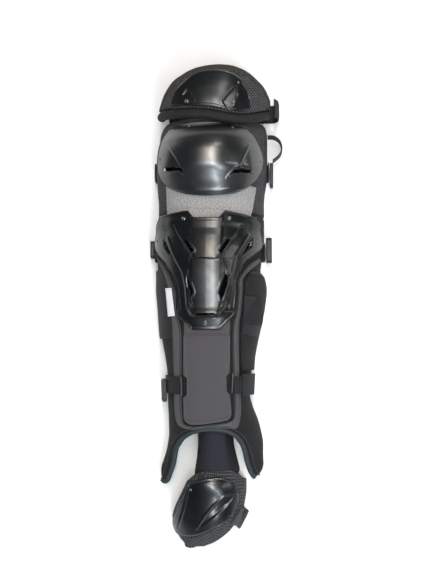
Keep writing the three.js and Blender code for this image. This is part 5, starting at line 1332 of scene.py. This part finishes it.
# Toe pad
toePadParts = {
    "bottom": [
        (-55, -337.9), (-48, -347.2), (-36, -353.1), (-19, -353.8), (1, -347.2), (18, -334), (33, -318.8),
    ],
    "top": [(-33, -256.7), (-20, -246.8), (5, -241.6), (25, -240.9), (38, -248.2)],
    "left": [(-55, -337.9), (-58, -322.1), (-53, -300.3), (-44, -279.2), (-33, -256.7)],
    "right": [(33, -318.8), (43, -304.3), (50, -285.8), (49, -265.3), (38, -248.2)],
    "base": -8.0, "thickness": 8.0, "radius": 5.5, "drop": 2.5, "swell": 0.15, "seed": 11,
    "voxel": 5, "travel": 0.8,
}
us, vs = steps(110, 4, 0.01), steps(110, 4, 0.01)
turn, along = filled(toeForm, toePadParts, us, vs, 0)
outer, inner, _ = padGrid(toeForm, turn, along, toePadParts)
toePad = makePiece("toePad", outer, inner, padMesh, "toe_pad")
inflate(toePad, toePadParts)


# Straps: each is a grid between its long edges, which are rows of inner and outer points
def strapPiece(name, edges, nodeName, material=None, rows=150):
    at = np.linspace(0, 1, rows)
    outs = [resample(edge[:, 1], at) for edge in edges]
    ins = [resample(edge[:, 0], at) for edge in edges]
    columns = 13
    across = np.linspace(0, len(edges) - 1, columns)
    i = np.minimum(across.astype(int), len(edges) - 2)
    s = across - i
    outer = np.stack([outs[k] * (1 - f) + outs[k + 1] * f for k, f in zip(i, s)], 1)
    inner = np.stack([ins[k] * (1 - f) + ins[k + 1] * f for k, f in zip(i, s)], 1)
    crown = 1 - 0.35 * np.abs(np.linspace(-1, 1, columns)) ** 6
    outer = inner + (outer - inner) * crown[None, :, None]
    return makePiece(name, outer, inner, material or elastic, nodeName, 60)


# Inner and outer point of a strap at one place, with the way out of the leg in x and z
def pairAt(x, y, z, outX, outZ):
    return [(x, y, z), (x + outX * strapThickness, y, z + outZ * strapThickness)]


# The part of a strap that lies on the floor, with a bend at each side
def floorPart(y, left, right):
    pairs = []
    for side, edge, angles in ((-1, left, (0, 30, 60, 90)), (1, right, (90, 60, 30, 0))):
        for r in np.radians(angles):
            x = edge - side * strapBend * (1 - math.cos(r))
            z = strapBend * (1 - math.sin(r)) + strapThickness
            pairs.append(pairAt(x, y, z, side * math.cos(r), -math.sin(r)))
    return pairs


# The two long edges of a strap that rises at both sides of the leg
def sideStrap(parts):
    run, halfWidth, topHeight = parts["run"], parts["width"] / 2, parts["topHeight"]
    reach = sectionAt(legForm, run + np.array([-halfWidth, 0, halfWidth]))
    left, right = -reach[:, 0].max() - layerGap, reach[:, 1].max() + layerGap
    edges = []
    for y in (run - halfWidth, run + halfWidth):
        start, end = pairAt(left, y, topHeight, -1, 0), pairAt(right, y, topHeight, 1, 0)
        edges.append(np.array([start] + floorPart(y, left, right) + [end]))
    return edges


kneeStrapParts = {"run": 165.0, "width": 25, "topHeight": 22}
calfStrapParts = {"run": 52.1, "width": 25, "topHeight": 19}
strapPiece("kneeStrap", sideStrap(kneeStrapParts), "knee_strap")
strapPiece("calfStrap", sideStrap(calfStrapParts), "calf_strap")

# Thigh strap: its left end rises inside the cap, its right end stands out in a slack loop
thighStrapParts = {
    "run": 250.1, "width": 25, "leftShare": 0.765, "right": 80,
    "rise": [(6.2, 44.4, -0.96, 0.25), (3.0, 31.2, -0.99, 0.12)],
    "slack": [
        (78, 0, 0, -1), (86, 1.7, 0.5, -0.87), (90.5, 7, 0.9, -0.4), (92.3, 15, 1, 0), (91, 26, 0.95, 0.3),
        (86.5, 36, 0.9, 0.43),
    ],
}


def thighEdge(y):
    parts = thighStrapParts
    left = -parts["leftShare"] * parts["right"]
    pairs = [pairAt(left + x, y, z, outX, outZ) for x, z, outX, outZ in parts["rise"]]
    for (x, _, z), (farX, _, farZ) in floorPart(y, left, parts["right"])[:4]:
        outX, outZ = (farX - x) / strapThickness, (farZ - z) / strapThickness
        pairs.append(pairAt(x + strapThickness, y, z, outX, outZ))
    pairs.append(pairAt(0, y, strapThickness, 0, -1))
    pairs += [pairAt(x, y, strapThickness + z, outX, outZ) for x, z, outX, outZ in parts["slack"]]
    return np.array(pairs)


strapPiece("thighStrap", [
    thighEdge(thighStrapParts["run"] + side * thighStrapParts["width"] / 2) for side in (-1, 1)
], "thigh_strap")

# Free end of the knee strap: one plain loop, on its edge
kneeTailParts = {
    "plan": [(77.5, 213.2), (86, 212.5), (93.5, 207.2), (96.5, 198), (94, 188.8), (88, 182.8), (84.5, 180.2)],
    "low": 5.8, "high": 27.8, "rows": 60,
}
rows = kneeTailParts["rows"]
tailPlan = resample(kneeTailParts["plan"], np.linspace(0, 1, rows))
side = unit(np.gradient(tailPlan, axis=0))
side = np.stack([-side[:, 1], side[:, 0]], -1) * strapThickness
tailEdges = []
for z in (kneeTailParts["low"], kneeTailParts["high"]):
    level = np.full(rows, z)
    tailEdges.append(np.stack([np.c_[tailPlan, level], np.c_[tailPlan + side, level]], 1))
strapPiece("kneeStrapTail", tailEdges, "knee_strap_tail")

# Ankle strap: over the border at both sides, then down and under the leg
ankleStrapParts = {
    "run": -129.4, "width": 23, "left": -38.6, "right": 31.6, "rows": 260,
    "shares": [0, 0.12, 0.24, 0.36, 0.5, 0.66, 0.84], "leaves": 0.36, "settles": 0.3,
}
overBorder = shellSeat + layerGap + borderParts["thickness"] + 1


def ankleEdge(y):
    parts = ankleStrapParts
    left, right = sectionAt(legForm, np.array(y))[:2]
    start, end = [float(locate(legForm, x, y, overBorder)[0]) for x in (parts["left"], parts["right"])]

    def wrapped(turn, s):
        share = max(0, 1 - (s - parts["leaves"]) / parts["settles"])
        offset = overBorder if s < 0.4 else strapBend + (overBorder - strapBend) * share
        return [lifted(legForm, turn, y, offset), lifted(legForm, turn, y, offset + strapThickness)]

    pairs = [wrapped(start * (1 - s), s) for s in parts["shares"]]
    pairs += [[np.array(q) for q in p] for p in floorPart(y, -left - strapBend, right + strapBend)]
    pairs += [wrapped(end + (1 - end) * s, s) for s in reversed(parts["shares"])]
    return np.array(pairs)


strapPiece("ankleStrap", [
    ankleEdge(ankleStrapParts["run"] + side * ankleStrapParts["width"] / 2) for side in (-1, 1)
], "ankle_strap", None, ankleStrapParts["rows"])

# Toe strap, over the pad's right edge and under the foot; each place on its upper and lower edge
toeStrapParts = {
    "start": [(37.5, -295.7), (25.5, -314.2)],
    "end": [(43.5, -299.6), (30.5, -320.8)],
    "shoulder": [(47.5, -302.3), (35, -326)],
    "knuckle": [(49, -303.6), (36.5, -327.4)],
    "turnUnder": [(45, -301), (32.5, -324)],
    "farSide": [(-34, -264), (-46, -287.8)],
}


def toeEdge(across):
    place = {}
    for key, (upper, lower) in toeStrapParts.items():
        place[key] = np.array(upper) + (np.array(lower) - np.array(upper)) * across
    start, end = place["start"], place["end"]
    out = np.append(unit(end - start), 0)
    pairs = []
    for s in (0, 0.35, 0.7, 1):
        p = start + (end - start) * s
        turn, along = locate(toeForm, p[0], p[1], 0)
        base = lifted(toeForm, turn, along, strapThickness)
        pairs.append([base, base + skinNormal(toeForm, turn, along) * strapThickness])
    bends = (("shoulder", 9.5, 0.85, 0.53), ("knuckle", 5.5, 0.98, 0.2), ("knuckle", 3.2, 0.7, -0.7))
    for key, z, lean, tilt in bends:
        base = np.append(place[key], z)
        pairs.append([base, base + (out * lean + np.array([0, 0, tilt])) * strapThickness])
    for key in ("turnUnder", "farSide"):
        pairs.append([np.append(place[key], strapThickness), np.append(place[key], 0.0)])
    return np.array(pairs)


strapPiece("toeStrap", [toeEdge(share) for share in (0, 0.33, 0.67, 1)], "toe_strap", smoothElastic)

# Folded webbing that holds the ankle strap
keeperParts = {
    "bottom": [(44, -143.2), (58.5, -143.2)],
    "top": [(44, -114.8), (60, -114.8)],
    "left": [(44, -143.2), (44, -114.8)],
    "right": [(58.5, -143.2), (60, -114.8)],
    "smooth": (False,) * 4, "counts": (50, 40), "base": overBorder + 2.4, "thickness": 2.4, "radius": 1.2,
    "drop": 0.8, "swell": 0.1, "seed": 12,
}
simplePad("ankleKeeper", legForm, keeperParts, elastic, "ankle_keeper")
print("straps done")

# Moulded clips, hook and wire bars: the solids' own shapes with rounded edges
mouldedParts = {
    "knee_clip": {"name": "kneeClip", "edge": 0.9, "material": satin, "slot": "plastic"},
    "calf_clip_right": {"name": "calfClipRight", "edge": 0.9, "material": satin, "slot": "plastic"},
    "calf_clip_left": {"name": "calfClipLeft", "edge": 0.9, "material": satin, "slot": "plastic"},
    "ankle_hook": {"name": "ankleHook", "edge": 0.9, "material": satin, "slot": "plastic"},
    "ankle_bar_left": {"name": "ankleBarLeft", "edge": 0.5, "material": steel, "slot": "steel"},
    "ankle_bar_right": {"name": "ankleBarRight", "edge": 0.5, "material": steel, "slot": "steel"},
}


def softened(nodeName, parts):
    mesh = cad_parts[nodeName].data.copy()
    mesh.name = parts["name"]
    obj = bpy.data.objects.new(parts["name"], mesh)
    bpy.context.scene.collection.objects.link(obj)
    weld = obj.modifiers.new("weld", "WELD")
    weld.merge_threshold = 0.0001
    bevel = obj.modifiers.new("bevel", "BEVEL")
    bevel.width = parts["edge"] / 1000
    bevel.segments = 3
    bevel.limit_method = "ANGLE"
    bevel.angle_limit = math.radians(35)
    bevel.harden_normals = False
    result = bpy.data.meshes.new_from_object(obj.evaluated_get(bpy.context.evaluated_depsgraph_get()))
    obj.modifiers.clear()
    obj.data = result
    result.name = parts["name"]
    result.materials.clear()
    result.materials.append(parts["material"])
    result.shade_smooth()
    result.set_sharp_from_angle(angle=math.radians(40))
    return enrol(obj, nodeName)


for nodeName, parts in mouldedParts.items():
    softened(nodeName, parts)

# Press studs: a domed cap in a turned ring, one on each place
studParts = {
    "outline": [
        (0, 1.62), (0.9, 1.5), (1.6, 1.15), (1.95, 0.75), (2.1, 0.55), (2.3, 0.5), (2.45, 0.78), (2.75, 0.85),
        (3.0, 0.6), (3.05, 0.0), (0, 0.0),
    ],
    "turns": 28, "sunk": 0.0003,
    "scales": {
        "thigh_stud_left": 1.0, "thigh_stud_right": 1.0, "thigh_stud_small": 0.67,
        "knee_stud_top_left": 0.8, "knee_stud_top_right": 0.8,
        "knee_stud_left": 0.67, "knee_stud_right": 0.67,
        "shin_stud_top_left": 1.0, "shin_stud_top_right": 1.0,
        "shin_stud_left": 0.67, "shin_stud_right": 0.67,
        "shin_stud_bottom": 1.0, "toe_stud": 0.67,
    },
}


def studMesh():
    outline, turns = studParts["outline"], studParts["turns"]
    vertices, faces = [], []
    for radius, height in outline:
        for k in range(turns):
            a = 2 * math.pi * k / turns
            vertices.append((radius * math.cos(a) / 1000, radius * math.sin(a) / 1000, height / 1000))
    for r in range(len(outline) - 1):
        for k in range(turns):
            n = (k + 1) % turns
            faces.append((r * turns + k, (r + 1) * turns + k, (r + 1) * turns + n, r * turns + n))
    mesh = bpy.data.meshes.new("studShape")
    mesh.from_pydata(vertices, [], faces)
    mesh.materials.append(satin)
    return mesh


# Each stud stands on the shell below its solid, along that shell's normal
shellTops = [v for shell in (thighShell, kneeShell, shinShell, toeShell) for v in shell.data.vertices]
finder = kdtree.KDTree(len(shellTops))
for i, v in enumerate(shellTops):
    finder.insert(v.co, i)
finder.balance()
vertices, facings = [], []
for nodeName in studParts["scales"]:
    corner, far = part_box(nodeName)
    middle = (Vector(corner) + Vector(far)) / 2
    near = [i for _, i, d in finder.find_n(middle + Vector((0, 0, 0.003)), 40)]
    outward = sum((shellTops[i].normal for i in near if shellTops[i].normal.z > 0), Vector())
    outward.normalize()
    height = max((shellTops[i].co - middle).dot(outward) for i in near)
    vertices.append(middle + outward * (height - studParts["sunk"]))
    facings.append(outward)
mesh = bpy.data.meshes.new("studs")
mesh.from_pydata(vertices, [], [])
mesh.attributes.new("facing", "FLOAT_VECTOR", "POINT").data.foreach_set("vector", np.array(facings).ravel())
scales = list(studParts["scales"].values())
mesh.attributes.new("size", "FLOAT", "POINT").data.foreach_set("value", scales)
shape = bpy.data.objects.new("studShape", studMesh())
studs = grown("studs", mesh, studTree, Stud=shape, Material=studCap)
enrol(studs, None)
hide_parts(*studParts["scales"])

# Sewn lines on the shells, panel and toe; lift is the height above the form
overShell = layerGap + shellThickness
sewnParts = {
    "thighHem": {
        "form": thighForm, "lift": overShell - 0.5, "thread": thread, "slot": "shell",
        "pitch": 4.2, "length": 1.9, "radius": 0.36,
        "line": [
            (-50, 236.5), (-33, 238.5), (-17, 239.2), (3, 237.2), (18, 234.3), (32, 231), (42, 229.2),
            (52, 230),
        ],
    },
    "thighTopSeam": {
        "form": thighForm, "lift": -1.2, "thread": thread, "slot": "mesh",
        "pitch": 3.4, "length": 2.4, "radius": 0.42,
        "line": [
            (-64, 256), (-56, 268), (-44, 280), (-29, 289), (-12, 293.5), (6, 295), (24, 292), (42, 284),
            (58, 271), (67, 256),
        ],
    },
    "kneeHem": {
        "form": legForm, "lift": overPanel + shellThickness - 0.2, "thread": paleThread, "slot": "shell",
        "pitch": 4.4, "length": 1.7, "radius": 0.36,
        "line": [
            (-61, 141), (-50, 131), (-33, 124.6), (-9, 121.8), (15, 122), (32, 123.4), (49, 130.5), (62, 142),
        ],
    },
    "panelFrame": {
        "form": legForm, "lift": layerGap + 1.95, "thread": thread, "slot": "melange",
        "pitch": 2.6, "length": 1.8, "radius": 0.25, "count": 160, "smooth": False,
        "line": [(-56, 123), (-54, 106), (48, 100), (53, 121)],
    },
    "toeRimStitches": {
        "form": toeForm, "lift": overShell - 0.3, "thread": paleThread, "slot": "shell",
        "pitch": 4.2, "length": 1.9, "radius": 0.36, "count": 140,
        "line": [
            (-27, -260), (-21, -258.5), (-6, -255.6), (9, -253.6), (22, -256), (32.5, -266), (36.6, -274),
            (36.5, -283.5), (31, -297), (18, -308), (3, -320), (-14, -330.6), (-30, -334.2), (-44, -333.4),
            (-50.5, -326.5), (-52.3, -317), (-47, -299), (-39, -281), (-27, -260),
        ],
    },
    "labelStitches": {
        "form": legForm, "lift": 5.05, "thread": paleThread, "slot": "label",
        "pitch": 2.2, "length": 1.5, "radius": 0.2, "count": 90, "smooth": False,
        "line": [(-58.3, -3), (-51.2, -3), (-47.6, -36.5), (-54.6, -37.3), (-58.3, -3)],
    },
}
for name, parts in sewnParts.items():
    count, smooth = parts.get("count", 60), parts.get("smooth", True)
    path = lineOn(parts["form"], parts["line"], parts["lift"], count, smooth)
    stitches(name, [path], parts["thread"], parts["pitch"], parts["length"], parts["radius"])

# Three folds of the webbing on the border, beside the keeper
foldParts = {"places": (34.5, 37.6, 40.9), "from": -140, "to": -118, "width": 2.6, "height": 1.8}
folds = []
for x in foldParts["places"]:
    ends = [(x, foldParts["from"]), (x, foldParts["to"])]
    folds.append(lineOn(legForm, ends, overBorder + 1.9, 24, False))
swept("keeperFolds", folds, foldParts["width"], foldParts["height"], elastic, None)
print("details done")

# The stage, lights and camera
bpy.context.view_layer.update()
bpy.ops.mesh.primitive_plane_add(size=8, location=(0, 0, -0.0005))
floor = bpy.context.object
floor.name = "floor"
floor.data.materials.append(floorWhite)

# Each light: place, aim, width and height in metres, power in watts and colour
lightParts = {
    "ceiling": ((0.14, 0.50, 2.0), (0.14, 0.50, 0.0), 0.20, 2.2, 34, (1.0, 0.985, 0.97)),
    "window": ((0.38, -0.60, 2.0), (0.0, -0.1, 0.05), 0.18, 1.9, 26, (0.88, 0.95, 1.0)),
    "foot": ((0.34, -2.00, 1.55), (0.0, 0.1, 0.08), 0.2, 1.3, 30, (0.86, 0.94, 1.0)),
    "back": ((0.45, 2.10, 1.8), (0.0, 0.26, 0.1), 0.34, 0.9, 9, (1.0, 0.97, 0.93)),
    "lamp": ((0.02, 0.62, 1.98), (0.0, 0.1, 0.05), 0.2, 0.3, 4.2, (1.0, 0.68, 0.40)),
    "right": ((1.9, 0.1, 1.4), (0.0, 0.0, 0.08), 0.16, 1.5, 8, (1.0, 0.98, 0.95)),
}
for name, (place, aim, width, height, power, color) in lightParts.items():
    data = bpy.data.lights.new(name, "AREA")
    data.shape = "RECTANGLE"
    data.size = width
    data.size_y = height
    data.energy = power
    data.color = color
    lamp = bpy.data.objects.new(name, data)
    lamp.location = place
    lamp.rotation_euler = (Vector(aim) - Vector(place)).to_track_quat("-Z", "Y").to_euler()
    bpy.context.scene.collection.objects.link(lamp)

# World: a soft grey, a little darker overhead
worldParts = {"low": (0.12, 0.125, 0.13), "lowAt": 0.05, "high": (0.05, 0.058, 0.066), "highAt": 0.85}
world = bpy.data.worlds.new("studio")
world.use_nodes = True
sky = world.node_tree
gradient = sky.nodes.new("ShaderNodeValToRGB")
split = sky.nodes.new("ShaderNodeSeparateXYZ")
toward = sky.nodes.new("ShaderNodeTexCoord")
sky.links.new(toward.outputs["Generated"], split.inputs[0])
sky.links.new(split.outputs[2], gradient.inputs[0])
sky.links.new(gradient.outputs[0], sky.nodes["Background"].inputs[0])
for stop, key in zip(gradient.color_ramp.elements, ("low", "high")):
    stop.color = (*worldParts[key], 1)
    stop.position = worldParts[key + "At"]
sky.nodes["Background"].inputs[1].default_value = 1.0
bpy.context.scene.world = world
bpy.context.scene.view_settings.view_transform = "Standard"

# Camera over the knee, with the thigh cap at the top of the frame
cameraParts = {"place": (0.0744, -0.0574, 1.2471), "aim": (0.002, 0.026, 0.05), "sensor": 36, "lens": 55.46}
data = bpy.data.cameras.new("camera")
data.sensor_width = cameraParts["sensor"]
data.lens = cameraParts["lens"]
camera = bpy.data.objects.new("camera", data)
place, aim = Vector(cameraParts["place"]), Vector(cameraParts["aim"])
away = (place - aim).normalized()
across = Vector((0, 1, 0)).cross(away).normalized()
camera.matrix_world = Matrix((across, away.cross(across), away)).transposed().to_4x4()
camera.location = place
bpy.context.scene.collection.objects.link(camera)
bpy.context.scene.camera = camera
print("studio done")
